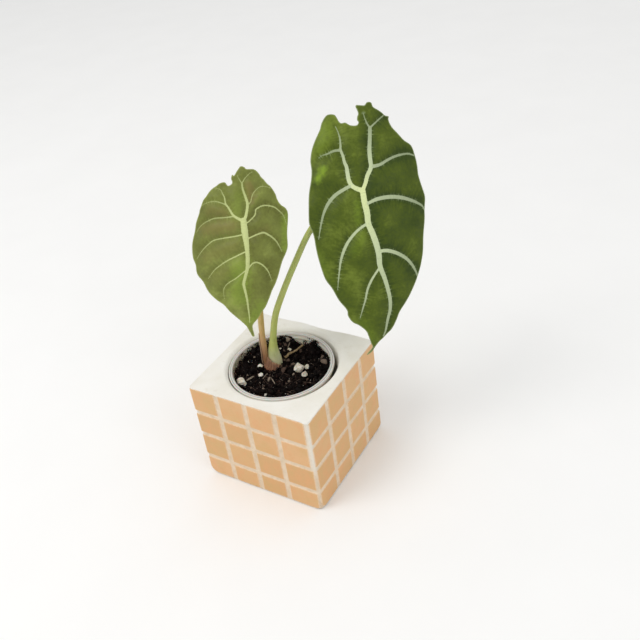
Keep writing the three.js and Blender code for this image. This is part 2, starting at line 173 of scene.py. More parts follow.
SMALL_LEAF = {
    "joint": (-8.9, 2.1, 153.5), "facing": 28, "tilt": 28, "spin": -2.7,
    "bend": 0.0018, "droop": 0.0096,
    "outline": [
        (240.9, 166.3), (244.9, 167.5), (246, 168.9), (254.4, 169.5), (259.2, 174.1), (260.4, 176.4),
        (263.6, 179.5), (267, 183.5), (270.4, 186.4), (275.3, 193.9), (276.8, 198.5), (279.1, 202.5),
        (281.9, 205.4), (285.4, 207.6), (287.4, 210.5), (288, 214), (287.7, 220.7), (287.4, 230.1),
        (287.4, 239.5), (287.4, 247.7), (285.7, 253.6), (282.8, 260.6), (280.5, 267.6), (278.3, 275.9),
        (275.9, 282.9), (271.8, 291.1), (268.9, 299.3), (266, 306.4), (261.9, 312.2), (258.3, 318.1),
        (253, 325.1), (253.3, 329.8), (254.2, 336.6), (252.5, 336.6), (250, 332), (247, 326.5),
        (242, 322), (236, 317), (231, 312), (225, 305.5), (216.6, 300), (208.5, 291.1), (202.6, 281.7),
        (197.9, 274.7), (196.1, 265.3), (193, 258.3), (192.6, 248.9), (193.2, 237.1), (195.6, 225.4),
        (199.1, 213.7), (199.7, 209.6), (203.2, 200.8), (206.7, 196.2), (209.6, 191.3), (212.5, 188.1),
        (215.9, 185.8), (219.9, 183.2), (225.1, 182.4), (228, 185.8), (232, 183), (231.1, 178.4),
        (232.4, 174.6), (233.7, 175.8), (237.7, 170.3),
    ],
    "veins": [
        ([(243.5, 220.7), (244.1, 225.4), (245.2, 234.8), (246.4, 243), (247.2, 251.2), (247.6, 260.6),
          (247.2, 268.8), (245.2, 277), (243.7, 284.1), (245.2, 291.1), (247, 299.3), (248.2, 308.7),
          (249.4, 316.9), (249.9, 322.8)],
         (1.5, 1.7, 1.35, 1.05, 1, 0.75, 0.75, 0.6, 0.5, 0.35, 0.2), (1, 0.6)),
        ([(243.1, 220.9), (237.1, 218), (233.1, 215.1), (228, 207.1), (225.7, 204.2), (224.2, 197.3),
          (222.2, 193.3), (220.5, 189.9), (215.9, 188.1)],
         (0.8, 0.68, 0.58, 0.5, 0.44, 0.36, 0.28, 0.18, 0.12), (1, 0.4)),
        ([(224.8, 204.5), (222.2, 203.3), (215.3, 201.4), (211.9, 201.6), (205, 203.7), (200.3, 206.6)],
         (0.3, 0.22, 0.12), (0.5, 0.35)),
        ([(233.1, 216.5), (229.1, 217.1), (223.4, 217.7), (217.6, 218), (213, 218.8), (208.4, 220.8),
          (204.4, 223.1), (199.1, 227.8), (196.1, 232.4)],
         (0.32, 0.26, 0.15), (0.6, 0.4)),
        ([(243.1, 220.9), (245.5, 217.4), (246.6, 212.8), (247.5, 204.8), (246.9, 201.3), (245.5, 197.3),
          (242.6, 189.3), (241.7, 183.5)],
         (0.8, 0.68, 0.66, 0.52, 0.42), (1, 0.5)),
        ([(241.7, 183.5), (240, 180.7), (238, 177.2), (237.4, 174.9)], (0.3, 0.22, 0.15), (0.5, 0.35)),
        ([(241.7, 183.5), (244.6, 178.9), (250.4, 172.9), (252.1, 172.1)], (0.3, 0.22, 0.15), (0.5, 0.35)),
        ([(248.6, 204.2), (250.6, 201.9), (252.6, 194.4), (257.8, 188.1), (261.3, 186.4), (264.7, 186.4),
          (271, 188.1)],
         (0.25, 0.22, 0.15), (0.55, 0.4)),
        ([(245.2, 223.1), (247.5, 222.5), (253.2, 217.4), (255.2, 214.5), (255.9, 209.5), (258.4, 207.6),
          (261.8, 205.9), (265.3, 205.4), (273.3, 206.8), (276.8, 208.8), (283.1, 215.1), (285.9, 223.1)],
         (0.3, 0.32, 0.35, 0.33, 0.25, 0.14), (0.75, 0.45)),
        ([(247.5, 239), (253.4, 236.1), (259.2, 233.7), (263.9, 232.6), (267.4, 234.3), (272.1, 237.3),
          (276.2, 241.4), (281.8, 251.3)],
         (0.36, 0.35, 0.38, 0.46, 0.44, 0.4, 0.33, 0.25, 0.15), (0.8, 0.45)),
        ([(249, 267.7), (252.5, 263.6), (256, 262.4), (260.1, 263.6), (264.8, 267.1), (268.3, 271.8),
          (271.8, 280)],
         (0.3, 0.34, 0.4, 0.38, 0.33, 0.28, 0.2, 0.12), (0.75, 0.45)),
        ([(242.7, 234.7), (234.5, 236.5), (227.4, 237.6), (219.2, 239), (213.3, 240.6), (208.6, 244.1),
          (203.9, 248.8), (199.8, 254.1), (196.9, 258.8)],
         (0.36, 0.32, 0.24, 0.15), (0.8, 0.5)),
        ([(245.4, 251.8), (237.8, 255.5), (226.1, 261.4), (220.2, 265.5), (214.9, 269.6), (208.2, 278.4)],
         (0.38, 0.34, 0.25, 0.15), (0.85, 0.5)),
        ([(247.2, 269.3), (241.4, 274), (235.5, 278.7), (229.6, 282.2), (225.5, 285.8), (223.7, 289.3),
          (223.7, 294), (224.3, 298.7)],
         (0.32, 0.28, 0.22, 0.12), (0.8, 0.45)),
    ],
    "glows": [
        ((286, 216), (285.5, 250), 1.8, 0.75), ((240, 196), (236, 212), 3, 0.35),
        ((240, 268), (240, 296), 4.5, 0.7), ((252, 320), (262, 306), 3, 0.55),
    ],
    # Browner patches, written as the glows are.
    "tans": [
        ((205, 229), (232, 226), 3, 0.7), ((206, 256), (234, 246), 3.5, 0.35),
        ((249, 186), (251, 198), 2.2, 0.8), ((210, 211), (226, 213), 2.5, 0.6),
        ((212, 276), (232, 268), 3, 0.2), ((250, 236), (266, 229), 2, 0.3),
    ],
    "spacing": 0.44, "puff": 2.8, "reach": 2.4, "ridge": 0.55,
    "wave": 1.0, "wave_length": 13,
    "lobe_light": 0.12, "side_light": 0.05, "vein_shadow": 0.14, "sink": 0.3, "calm": 0,
}

# Stalks: the centre line, and the radius at some heights.
LARGE_STALK = {
    "path": [
        (-11, 7.6, 56.6), (-10.9, 8, 58.2), (-11, 8, 62), (-10.9, 8, 65.6), (-10.6, 8.2, 69.3),
        (-9.7, 8.9, 76.3), (-6.7, 10.3, 90), (-1.4, 13.2, 104), (6.7, 17.6, 122.2), (15.5, 22.4, 140),
        (21.5, 27.5, 148.5), (30, 34, 153.6), (36.9, 38.1, 157.2), (40.2, 37.3, 159.4), (41, 36.5, 160.1),
    ],
    "girth": [
        (56.6, 4.1), (59.5, 4.07), (62, 3.76), (65.6, 3.15), (69.3, 2.5), (73, 2.1), (77, 1.92), (95, 1.85),
        (130, 1.65), (160, 1.4),
    ],
}
SMALL_STALK = {
    "path": [
        (-14.9, 5.1, 57), (-15.1, 5, 61.3), (-15, 5.2, 65.2), (-15.5, 6.1, 70), (-16.2, 7.4, 76.2),
        (-16.6, 8.7, 82.2), (-16.4, 10, 92), (-16.2, 10.2, 110), (-15.8, 9.8, 128), (-14.3, 8.3, 142),
        (-11.4, 5.3, 149.2), (-9.4, 3, 152.5), (-9, 2.2, 153.3),
    ],
    "girth": [(57, 1.7), (63, 1.6), (70, 1.75), (76, 1.62), (82, 1.82), (90, 1.75), (110, 1.6), (153, 1.25)],
}

STEM_CENTRE = (-11.2, 6.0)
STEM_OUTLINE = [(0, 45), (2.6, 46), (4.3, 49), (4.8, 52), (4.7, 55.5), (4.5, 57.5), (3.6, 58.9), (0, 59.3)]

# The sheath's collar: its circle low and high, and the height of its ragged upper edge by
# direction. Its strip runs up the outer side of the small stalk.
COLLAR_LOW = {"centre": (-11.2, 6.0), "radius": 5.2, "height": 57.0}
COLLAR_HIGH = {"centre": (-10.6, 8.0), "radius": 4.3, "height": 63.5}
COLLAR_TURNS = (178, 195, 210, 225, 240, 255, 270, 285, 300, 310, 320, 330, 340, 350, 362)
COLLAR_EDGE = (59.2, 61.2, 62.2, 62.8, 63.1, 62.9, 62.3, 61.4, 60.7, 60.3, 59.8, 59.2, 58.6, 58, 57.3)
COLLAR_BULGE = {"turn": 196, "spread": 20, "rise": 1.25}
STRIP_TURNS = (176, 236)
STRIP_HEIGHTS = (57.6, 77)

FIBRE_PATH = [(-7.2, 12.4, 58.3), (-6, 15.6, 59.2), (-4.6, 18.6, 59), (-3, 21.6, 59.8), (-1.7, 24.2, 60.6)]

# How high the dirt reaches on the nursery pot's wall, by direction in degrees.
BORDER_TURNS = (
    0, 34, 44, 60, 66, 70, 77, 80, 84, 94, 102, 106, 109, 112, 126, 140, 150, 157, 170, 177, 184, 202,
    210, 235, 260, 360,
)
BORDER_LEVELS = (
    57.5, 61.2, 62, 60, 60, 63.4, 63.8, 62.4, 60, 57.6, 56.6, 59.2, 62, 63.3, 63.3, 62.5, 61.8, 62.8, 62,
    61.8, 60, 59.5, 60.8, 59, 57.5, 57.5,
)

# Crumbs of the mix: how many, smallest and largest size, how much they favour the small sizes,
# and thickness.
SOIL_CRUMBS = (
    (1500, 0.28, 1.05, 2.5, 0.75),
    (110, 0.7, 1.5, 1.2, 0.22),
    (190, 1.0, 2.3, 1.4, 0.75),
)
BRIGHT_SPECKS = 100
WALL_BITS = 1000
SHEATH_CRUMBS = 90
THREADS = 90
STEM_CLEARANCE = 6.2

# Heaps of mix: direction and distance from the nursery pot's axis, width and height.
HEAPS = [(115, 21.5, 5.2, 3.6), (76, 22.8, 2.4, 5), (163, 22, 4.5, 2), (40, 23, 4, 1.8)]

# Pale chunks that lie on the mix: the pixel, the size in millimetres and the tone.
CHUNKS = [
    ((324.8, 361.1), 3.4, 0.64), ((320.8, 345.9), 2.8, 0.6), ((292.3, 364.4), 3.2, 0.62),
    ((287.8, 339.4), 2.3, 0.74), ((285.2, 344.5), 2, 0.5), ((280.1, 344), 1.8, 0.36),
    ((280.1, 348.6), 1.7, 0.92), ((284.5, 351), 1.6, 0.6), ((288.3, 360.3), 2.2, 0.55),
    ((295.9, 365.9), 1.7, 0.52), ((283.2, 370), 3.4, 0.5), ((286.6, 367.2), 2.2, 0.42),
    ((293.4, 373.8), 1.5, 0.72), ((265.6, 394.5), 1.7, 1.0), ((285.6, 394.2), 0.9, 1.0),
    ((268.9, 379.2), 2.2, 0.7), ((257.5, 371.5), 1.3, 0.62), ((247.4, 375.2), 0.9, 0.8),
    ((254, 357), 1.3, 0.66), ((264.1, 386), 1.4, 0.5), ((262.5, 391), 1, 0.4), ((279.5, 381.5), 1.2, 0.46),
    ((322, 357.2), 2.6, 0.62), ((327.2, 352.8), 1.6, 0.55), ((300.2, 351.4), 2, 0.5),
    ((317.6, 351.6), 0.9, 0.95), ((311.7, 351.5), 0.7, 0.9), ((320.6, 374.4), 1.2, 0.5),
    ((315.5, 377.8), 0.9, 0.55), ((307.4, 379.5), 1.4, 0.5), ((310.2, 382.6), 0.8, 0.7),
    ((296.6, 383), 1, 0.5), ((247.8, 393), 0.7, 0.7), ((276.5, 376.5), 1.5, 0.34),
]

# Pale slivers on the mix, as two pixels, and their thickness.
SLIVERS = [
    ((252.6, 357.5), (260.4, 356), 0.42), ((246.5, 380.5), (254, 376.2), 0.5),
    ((262.6, 379), (267.4, 373.2), 0.22), ((271, 377.6), (275.5, 384.6), 0.3),
    ((286.5, 350), (290, 342.5), 0.3), ((304, 340.4), (312, 343.6), 0.35),
]


def box_mm(node):
    """Lowest and highest corner of a CAD node, in millimetres."""
    low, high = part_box(node)
    return np.array(low) / MM, np.array(high) / MM


# Planter, nursery pot and mix: what the frame gives, and then the details of the last two.
SHELL_LOW, SHELL_HIGH = box_mm("planter_shell")
CUP_LOW, CUP_HIGH = box_mm("nursery_pot")
SOIL_FOOT = box_mm("soil")[0][2]
CUP_CENTRE = (CUP_LOW[:2] + CUP_HIGH[:2]) / 2
CUP_RIM = (CUP_HIGH[0] - CUP_LOW[0]) / 2
CUP_TOP = CUP_HIGH[2]
CUP_FOOT = CUP_LOW[2]
CUP_NECK = CUP_TOP - 2.2
CUP_FOOT_RADIUS = 22.0
CUP_WALL = 0.8
CUP_LIP = 1.5
CUP_FLOOR = 1.4
CUP_HOLES = {"count": 5, "ring": 13, "radius": 2.6, "sides": 20}
SOIL_TOP = 56.6
SOIL_WAVE = 0.7
PERLITE_COUNT = 10
# A grain's ball before it is cut, as a multiple of its box in the frame, and how far it is raised.
PERLITE_SWELL = np.array((1.2, 1.2, 1.28))
PERLITE_LIFT = 0.5


def camera_axes():
    """The camera's directions to the right, upwards and backwards."""
    azimuth, elevation, roll = (math.radians(a) for a in (CAMERA_AZIMUTH, CAMERA_ELEVATION, CAMERA_ROLL))
    flat = math.cos(elevation)
    back = np.array((math.sin(azimuth) * flat, -math.cos(azimuth) * flat, math.sin(elevation)))
    level = np.array((math.cos(azimuth), math.sin(azimuth), 0))
    rise = np.cross(back, level)
    right = level * math.cos(roll) + rise * math.sin(roll)
    up = rise * math.cos(roll) - level * math.sin(roll)
    return right, up, back


def sight(pixel):
    """The direction from the camera through a pixel of the picture."""
    right, up, back = camera_axes()
    across, down = (np.array(pixel) - PICTURE / 2) / FOCAL_PIXELS
    return across * right - down * up - back


def on_level(pixel, height):
    """The place at a height that the camera sees at a pixel."""
    direction = sight(pixel)
    reach = (height - CAMERA_PLACE[2]) / direction[2]
    return np.array(CAMERA_PLACE) + reach * direction


def blade_axes(leaf):
    """A blade's directions down its length, across it and out of its upper face."""
    facing, tilt, spin = (math.radians(leaf[key]) for key in ("facing", "tilt", "spin"))
    flat = math.cos(tilt)
    out = np.array((math.sin(facing) * flat, -math.cos(facing) * flat, math.sin(tilt)))
    level = np.array((math.cos(facing), math.sin(facing), 0))
    fall = np.cross(level, out)
    down = fall * math.cos(spin) + level * math.sin(spin)
    return down, np.cross(out, down), out


def arch(leaf, u, v):
    """How far a blade's arched surface lies above its plane."""
    return -leaf["bend"] * u * u - leaf["droop"] * v * v


def on_blade(leaf, pixels):
    """Where on an arched blade the camera sees pixels: [along, across] from the joint."""
    down, across, out = blade_axes(leaf)
    joint, eye = np.array(leaf["joint"]), np.array(CAMERA_PLACE)
    places = []
    for pixel in pixels:
        direction = sight(pixel)
        level = 0.0
        for _ in range(30):
            reach = (joint + level * out - eye) @ out / (direction @ out)
            offset = eye + reach * direction - joint
            u, v = offset @ down, offset @ across
            level = (level + arch(leaf, u, v)) / 2
        places.append((u, v))
    return np.array(places)


def screen(red, green, blue):
    """A colour as it looks on a screen, 0 to 255, turned into light values."""
    values = [c / 255 for c in (red, green, blue)]
    light = [c / 12.92 if c <= 0.04045 else ((c + 0.055) / 1.055) ** 2.4 for c in values]
    return (*light, 1.0)


class Look:
    """A Principled material, with short ways to add textures, mix colours and raise a bump."""

    def __init__(self, name, roughness, **sockets):
        self.material = bpy.data.materials.new(name)
        self.material.use_nodes = True
        self.tree = self.material.node_tree
        self.shader = self.tree.nodes["Principled BSDF"]
        self.shader.inputs["Roughness"].default_value = roughness
        for label, value in sockets.items():
            self.shader.inputs[label.replace("_", " ")].default_value = value
        place = self.add("ShaderNodeTexCoord").outputs["Object"]
        self.place = self.stretch(place, (1 / MM, 1 / MM, 1 / MM))
        self.normal = None

    def add(self, kind, **settings):
        node = self.tree.nodes.new(kind)
        for key, value in settings.items():
            setattr(node, key, value)
        return node

    def join(self, value, socket):
        if isinstance(value, bpy.types.NodeSocket):
            self.tree.links.new(value, socket)
        else:
            socket.default_value = value

    def stretch(self, vector, scale):
        node = self.add("ShaderNodeVectorMath", operation="MULTIPLY")
        self.join(vector, node.inputs[0])
        self.join(scale, node.inputs[1])
        return node.outputs[0]

    def vector(self, *values):
        node = self.add("ShaderNodeCombineXYZ")
        for place, value in enumerate(values):
            self.join(value, node.inputs[place])
        return node.outputs[0]

    def math(self, operation, first, second=0.0):
        node = self.add("ShaderNodeMath", operation=operation)
        self.join(first, node.inputs[0])
        self.join(second, node.inputs[1])
        return node.outputs[0]

    def plus(self, first, second):
        return self.math("ADD", first, second)

    def times(self, first, second):
        return self.math("MULTIPLY", first, second)

    def noise(self, size, detail=2.0, rough=0.5, at=None, warp=0.0):
        node = self.add("ShaderNodeTexNoise")
        self.join(self.place if at is None else at, node.inputs["Vector"])
        node.inputs["Scale"].default_value = 1 / size
        node.inputs["Detail"].default_value = detail
        node.inputs["Roughness"].default_value = rough
        node.inputs["Distortion"].default_value = warp
        return node.outputs["Fac"]

    def cells(self, size, at=None, feature="DISTANCE_TO_EDGE"):
        node = self.add("ShaderNodeTexVoronoi", feature=feature)
        self.join(self.place if at is None else at, node.inputs["Vector"])
        node.inputs["Scale"].default_value = 1 / size
        return node.outputs["Distance"]

    def mark(self, name):
        """A named number that the shape holds for each of its points."""
        return self.add("ShaderNodeAttribute", attribute_name=name).outputs["Fac"]

    def fade(self, value, start, end, low=0.0, high=1.0):
        """low at start and high at end, smooth between them."""
        node = self.add("ShaderNodeMapRange", interpolation_type="SMOOTHSTEP")
        for place, number in enumerate((value, start, end, low, high)):
            self.join(number, node.inputs[place])
        return node.outputs[0]

    def fade_straight(self, value, start, end):
        """0 at start and 1 at end, in a straight line between them."""
        node = self.add("ShaderNodeMapRange")
        for place, number in enumerate((value, start, end)):
            self.join(number, node.inputs[place])
        return node.outputs[0]

    def ramp(self, value, *stops):
        node = self.add("ShaderNodeValToRGB")
        self.join(value, node.inputs[0])
        marks = node.color_ramp.elements
        while len(marks) < len(stops):
            marks.new(0.5)
        for mark, (position, colour) in zip(marks, stops):
            mark.position = position
            mark.color = colour
        return node.outputs["Color"]

    def mix(self, share, first, second):
        node = self.add("ShaderNodeMix", data_type="RGBA")
        self.join(share, node.inputs[0])
        self.join(first, node.inputs[6])
        self.join(second, node.inputs[7])
        return node.outputs[2]

    def tint(self, body, value, start, end, share, colour):
        """The body with none of a colour where value is start, and that share of it at end."""
        return self.mix(self.fade(value, start, end, 0, share), body, colour)

    def colour(self, value):
        self.join(value, self.shader.inputs["Base Color"])

    def rough(self, value):
        self.join(value, self.shader.inputs["Roughness"])

    def bump(self, height, depth, strength):
        """Adds relief of that depth in millimetres, on top of any bump so far."""
        node = self.add("ShaderNodeBump")
        node.inputs["Strength"].default_value = strength
        node.inputs["Distance"].default_value = depth * MM
        self.join(height, node.inputs["Height"])
        if self.normal is not None:
            self.join(self.normal, node.inputs["Normal"])
        self.normal = node.outputs[0]
        self.join(self.normal, self.shader.inputs["Normal"])


class Shape:
    """Points in millimetres, faces, a look for each face and named numbers for each point."""

    def __init__(self, *marks):
        self.points = []
        self.faces = []
        self.looks = []
        self.marks = {mark: [] for mark in marks}
        self.count = 0

    def add(self, points, faces, look=0, **marks):
        points = np.asarray(points, float)
        for face in faces:
            self.faces.append([int(corner) + self.count for corner in face])
        self.looks.extend(look if isinstance(look, list) else [look] * len(faces))
        self.points.append(points)
        for mark in self.marks:
            value = np.asarray(marks.get(mark, 0.0), float)
            self.marks[mark].append(np.broadcast_to(value, (len(points),)))
        self.count += len(points)

    def build(self, name, looks, nodes, sharp=None):
        mesh = bpy.data.meshes.new(name)
        mesh.from_pydata(np.vstack(self.points) * MM, [], self.faces)
        for mark, values in self.marks.items():
            attribute = mesh.attributes.new(mark, "FLOAT", "POINT")
            attribute.data.foreach_set("value", np.concatenate(values).astype(np.float32))
        for look in looks:
            mesh.materials.append(look.material)
        mesh.polygons.foreach_set("material_index", self.looks)
        mesh.polygons.foreach_set("use_smooth", [True] * len(self.faces))
        if sharp is not None:
            mesh.set_sharp_from_angle(angle=math.radians(sharp))
        piece = bpy.data.objects.new(name, mesh)
        bpy.context.scene.collection.objects.link(piece)
        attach(piece, "root")
        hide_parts(*nodes)


def add_plain(name, points, faces, look, node):
    """A piece that has one look and no named numbers."""
    shape = Shape()
    shape.add(points, faces)
    shape.build(name, [look], [node])


def grid_faces(rows, columns, wrap=True):
    """Quads between neighbouring rows of points. With wrap, the last column meets the first."""
    faces = []
    for row in range(rows - 1):
        for column in range(columns if wrap else columns - 1):
            after = (column + 1) % columns
            low, high = row * columns, (row + 1) * columns
            faces.append((low + column, low + after, high + after, high + column))
    return faces


def fan(ring, tip, flip=False):
    """Triangles from a ring of point numbers to one more point."""
    ring = list(ring)
    after = ring[1:] + ring[:1]
    return [(b, a, tip) if flip else (a, b, tip) for a, b in zip(ring, after)]


def capped_rings(rings, low, high):
    """Points and faces of a closed skin through rings of equal size, with a point at each end."""
    rings = np.asarray(rings, float)
    rows, columns = rings.shape[:2]
    points = np.vstack([rings.reshape(-1, 3), [low, high]])
    last = (rows - 1) * columns
    faces = grid_faces(rows, columns)
    faces += fan(range(columns), rows * columns, flip=True)
    faces += fan(range(last, last + columns), rows * columns + 1)
    return points, faces


def thin_shell(front, back):
    """Points and faces of a closed sheet between two equal grids of points."""
    rows, columns = front.shape[:2]
    count = rows * columns
    faces = grid_faces(rows, columns, wrap=False)
    faces += [tuple(i + count for i in face[::-1]) for face in faces]
    rim = list(range(columns)) + [row * columns + columns - 1 for row in range(1, rows)]
    rim += [(rows - 1) * columns + column for column in range(columns - 2, -1, -1)]
    rim += [row * columns for row in range(rows - 2, 0, -1)]
    for a, b in zip(rim, rim[1:] + rim[:1]):
        faces.append((b, a, a + count, b + count))
    return np.vstack([front.reshape(-1, 3), back.reshape(-1, 3)]), faces


def lifted(flat, z):
    """Flat points at one height, or each at its own."""
    return np.column_stack([flat, np.broadcast_to(z, (len(flat),))])


def toward(direction):
    """The flat direction that far round from the X axis, in radians."""
    return np.array((math.cos(direction), math.sin(direction)))


def ring_of(count):
    """Directions round a full turn."""
    angles = np.linspace(0, 2 * np.pi, count, endpoint=False)
    return np.column_stack([np.cos(angles), np.sin(angles)])


def between(p, q, low, high, t):
    return ((high - t) * p + (t - low) * q) / (high - low)


def spline(points, closed=False, samples=16):
    """Points along a smooth curve (centripetal Catmull-Rom) through the given points."""
    given = np.asarray(points, float)
    if closed:
        given = np.vstack([given[-1], given, given[:2]])
    else:
        given = np.vstack([2 * given[0] - given[1], given, 2 * given[-1] - given[-2]])
    pieces = []
    for four in zip(given[:-3], given[1:-2], given[2:-1], given[3:]):
        steps = [math.sqrt(np.linalg.norm(q - p)) for p, q in zip(four[:-1], four[1:])]
        k = np.cumsum([0, *steps])
        t = np.linspace(k[1], k[2], samples, endpoint=False)[:, None]
        ab, bc, cd = (between(four[i], four[i + 1], k[i], k[i + 1], t) for i in range(3))
        left, right = between(ab, bc, k[0], k[2], t), between(bc, cd, k[1], k[3], t)
        pieces.append(between(left, right, k[1], k[2], t))
    if not closed:
        pieces.append(given[-2:-1])
    return np.vstack(pieces)


def even(points, step, closed=False):
    """The same curve with its points about one step apart."""
    if closed:
        points = np.vstack([points, points[:1]])
    run = run_along(points)
    count = max(2, int(round(run[-1] / step)) + 1)
    places = np.linspace(0, run[-1], count)
    curve = np.column_stack([np.interp(places, run, axis) for axis in points.T])
    return curve[:-1] if closed else curve


def run_along(points):
    """How far along a curve each of its points lies."""
    return np.concatenate([[0], np.cumsum(np.linalg.norm(np.diff(points, axis=0), axis=1))])


def rough(points, size, octaves, seed=0):
    """Smooth random numbers between about -1 and 1 at points, with features of that size."""
    shift = Vector((seed * 17.3, seed * 7.7, seed * 3.1))
    return np.array([noise.fractal(Vector(p) / size + shift, 1.0, 2.0, octaves) for p in points])


def smooth_step(value, low, high):
    share = np.clip((value - low) / (high - low), 0, 1)
    return share * share * (3 - 2 * share)


def tube_rings(path, radii, sides, ripple=None):
    """Rings of points round a path. ripple(angle, share) scales the radius."""
    path = np.asarray(path, float)
    tangents = np.gradient(path, axis=0)
    tangents /= np.linalg.norm(tangents, axis=1)[:, None]
    side = np.cross(tangents[0], (0.3, 1, 0.2))
    angles = np.linspace(0, 2 * np.pi, sides, endpoint=False)
    rings = []
    for i, (centre, tangent, radius) in enumerate(zip(path, tangents, radii)):
        side -= tangent * side.dot(tangent)
        side /= np.linalg.norm(side)
        up = np.cross(tangent, side)
        scale = radius if ripple is None else radius * ripple(angles, i / (len(path) - 1))
        ring = np.cos(angles)[:, None] * side + np.sin(angles)[:, None] * up
        rings.append(centre + ring * np.broadcast_to(scale, angles.shape)[:, None])
    return rings


def distances(points, targets):
    """Distance from each point to its nearest target, and that target's number."""
    near, number = [], []
    for start in range(0, len(points), BATCH):
        gap = np.linalg.norm(points[start:start + BATCH, None] - targets[None], axis=2)
        number.append(gap.argmin(1))
        near.append(gap.min(1))
    return np.concatenate(near), np.concatenate(number)


def to_segment(points, start, end):
    """Distance from points to a straight line between two places."""
    start, end = np.asarray(start, float), np.asarray(end, float)
    line = end - start
    share = np.clip((points - start) @ line / (line @ line), 0, 1)
    return np.linalg.norm(points - start - share[:, None] * line, axis=1)


def inside(points, loop):
    """Which points lie inside a closed loop."""
    x, y = points[:, 0, None], points[:, 1, None]
    ax, ay = loop[:, 0], loop[:, 1]
    bx, by = np.roll(ax, -1), np.roll(ay, -1)
    crosses = (ay > y) != (by > y)
    rise = np.where(by == ay, 1, by - ay)
    hits = crosses & (x < (bx - ax) * (y - ay) / rise + ax)
    return hits.sum(1) % 2 == 1


def triangulate(loop, spacing, holes=(), marks=None):
    """Even triangles over a flat shape: its points, first those of the loop, and its faces.

    Each point in marks becomes a point of the mesh, and so does each point of the holes.
    """
    low, high = loop.min(0), loop.max(0)
    rows = np.arange(low[1], high[1], spacing * math.sqrt(0.75))
    grid = []
    for i, y in enumerate(rows):
        x = np.arange(low[0] + (i % 2) * spacing / 2, high[0], spacing)
        grid.append(np.column_stack([x, np.full(len(x), y)]))
    grid = np.vstack(grid)
    given = np.vstack([loop, *holes])
    if marks is not None:
        clear = inside(marks, loop) & (distances(marks, loop)[0] > spacing * 0.6)
        given = np.vstack([given, marks[clear]])
    keep = inside(grid, loop) & (distances(grid, given)[0] > spacing * 0.6)
    for hole in holes:
        keep &= ~inside(grid, hole)
    points = np.vstack([given, grid[keep]])
    rims = [list(range(len(loop)))]
    made = geometry.delaunay_2d_cdt([Vector(p) for p in points], [], rims, 1, 1e-5, False)
    points = np.array([tuple(p) for p in made[0]])
    faces = np.array([face for face in made[2]])
    faces = faces[inside(points[faces].mean(1), loop)]
    for hole in holes:
        faces = faces[~inside(points[faces].mean(1), hole)]
    return points, faces


def smoothed(values, faces, rounds):
    """Averages numbers on a triangle mesh with their neighbours."""
    pairs = np.vstack([faces[:, [0, 1]], faces[:, [1, 2]], faces[:, [2, 0]]])
    pairs = np.vstack([pairs, pairs[:, ::-1]])
    total = np.bincount(pairs[:, 0], minlength=len(values))
    for _ in range(rounds):
        near = np.bincount(pairs[:, 0], weights=values[pairs[:, 1]], minlength=len(values))
        values = 0.4 * values + 0.6 * near / np.maximum(total, 1)
    return values


# Looks

def leaf_look(name, dark, middle, light, glow, tan, rim, veins, streaking):
    """Upper face of a blade. veins holds the colour of the dullest to that of the palest vein."""
    look = Look(name, 0.5, Specular_IOR_Level=0.24)
    edge, along, pale = look.mark("edge"), look.mark("along"), look.mark("pale")
    margin, streak = look.mark("margin"), look.mark("streak")
    flat = look.vector(look.mark("u"), look.mark("v"), 0.0)
    broad = look.noise(15, 3, 0.55, at=flat)
    fine = look.noise(1.5, 3, 0.6, at=flat)
    across_vein = look.vector(along, look.times(edge, 0.16), 0.0)
    streaks = look.noise(0.9, 3, 0.6, at=across_vein)
    # The tone starts from the blade's painted light and shade, with random tone added on top.
    tone = look.plus(look.mark("painted_shading"), look.times(look.plus(broad, -0.5), 1.1))
    tone = look.plus(tone, look.times(look.plus(fine, -0.5), 0.36))
    streaked = look.times(look.plus(streaks, -0.5), streaking)
    tone = look.plus(tone, look.times(streaked, streak))
    body = look.ramp(tone, (0.12, dark), (0.45, middle), (0.85, light))
    body = look.mix(look.times(look.mark("tan"), look.fade(broad, 0.3, 0.55, 0.6, 1)), body, tan)
    body = look.mix(look.times(look.mark("glow"), look.fade(fine, 0.3, 0.6, 0.75, 1)), body, glow)
    barbs = look.times(look.fade(streaks, 0.5, 0.66), look.fade(edge, 0.05, 1.3, streaking, 0))
    body = look.mix(look.times(barbs, streak), body, veins[0])
    body = look.mix(look.fade(margin, 0.1, 0.62, 0.85, 0), body, rim)
    ragged = look.times(look.plus(look.noise(0.6, 2, 0.6, at=flat), -0.5), 0.34)
    mask = look.fade(look.plus(edge, ragged), -0.14, 0.12, 1, 0)
    places = (0.0, 0.5, 0.8, 1.0)
    vein_colour = look.ramp(pale, *zip(places, veins))
    dull = look.fade(look.noise(0.8, 2, 0.5, at=across_vein), 0.5, 0.8, 0, 0.35)
    vein_colour = look.mix(dull, vein_colour, veins[0])
    look.colour(look.mix(look.times(mask, look.fade(pale, 0.3, 0.75, 0.72, 1)), body, vein_colour))
    look.rough(look.fade(fine, 0.3, 0.7, 0.42, 0.6))
    look.bump(look.cells(0.85, at=flat), 0.03, 0.5)
    look.bump(look.times(streaks, streak), 0.3 * streaking, 0.5)
    look.bump(fine, 0.06, 0.5)
    return look


def leaf_back_look(name, body_colour, vein_colour):
    look = Look(name, 0.55, Specular_IOR_Level=0.3)
    edge = look.mark("edge")
    flat = look.vector(look.mark("u"), look.mark("v"), 0.0)
    mottle = look.noise(6, 4, 0.6, at=flat)
    body = look.tint(body_colour, mottle, 0.3, 0.7, 0.5, vein_colour)
    net = look.cells(2.2, at=flat)
    body = look.mix(look.fade(net, 0.0, 0.06, 0.4, 0), body, vein_colour)
    look.colour(look.mix(look.fade(edge, -0.1, 0.3, 1, 0), body, vein_colour))
    look.bump(net, 0.08, 0.6)
    look.bump(look.noise(0.5, 3, 0.6, at=flat), 0.04, 0.5)
    return look


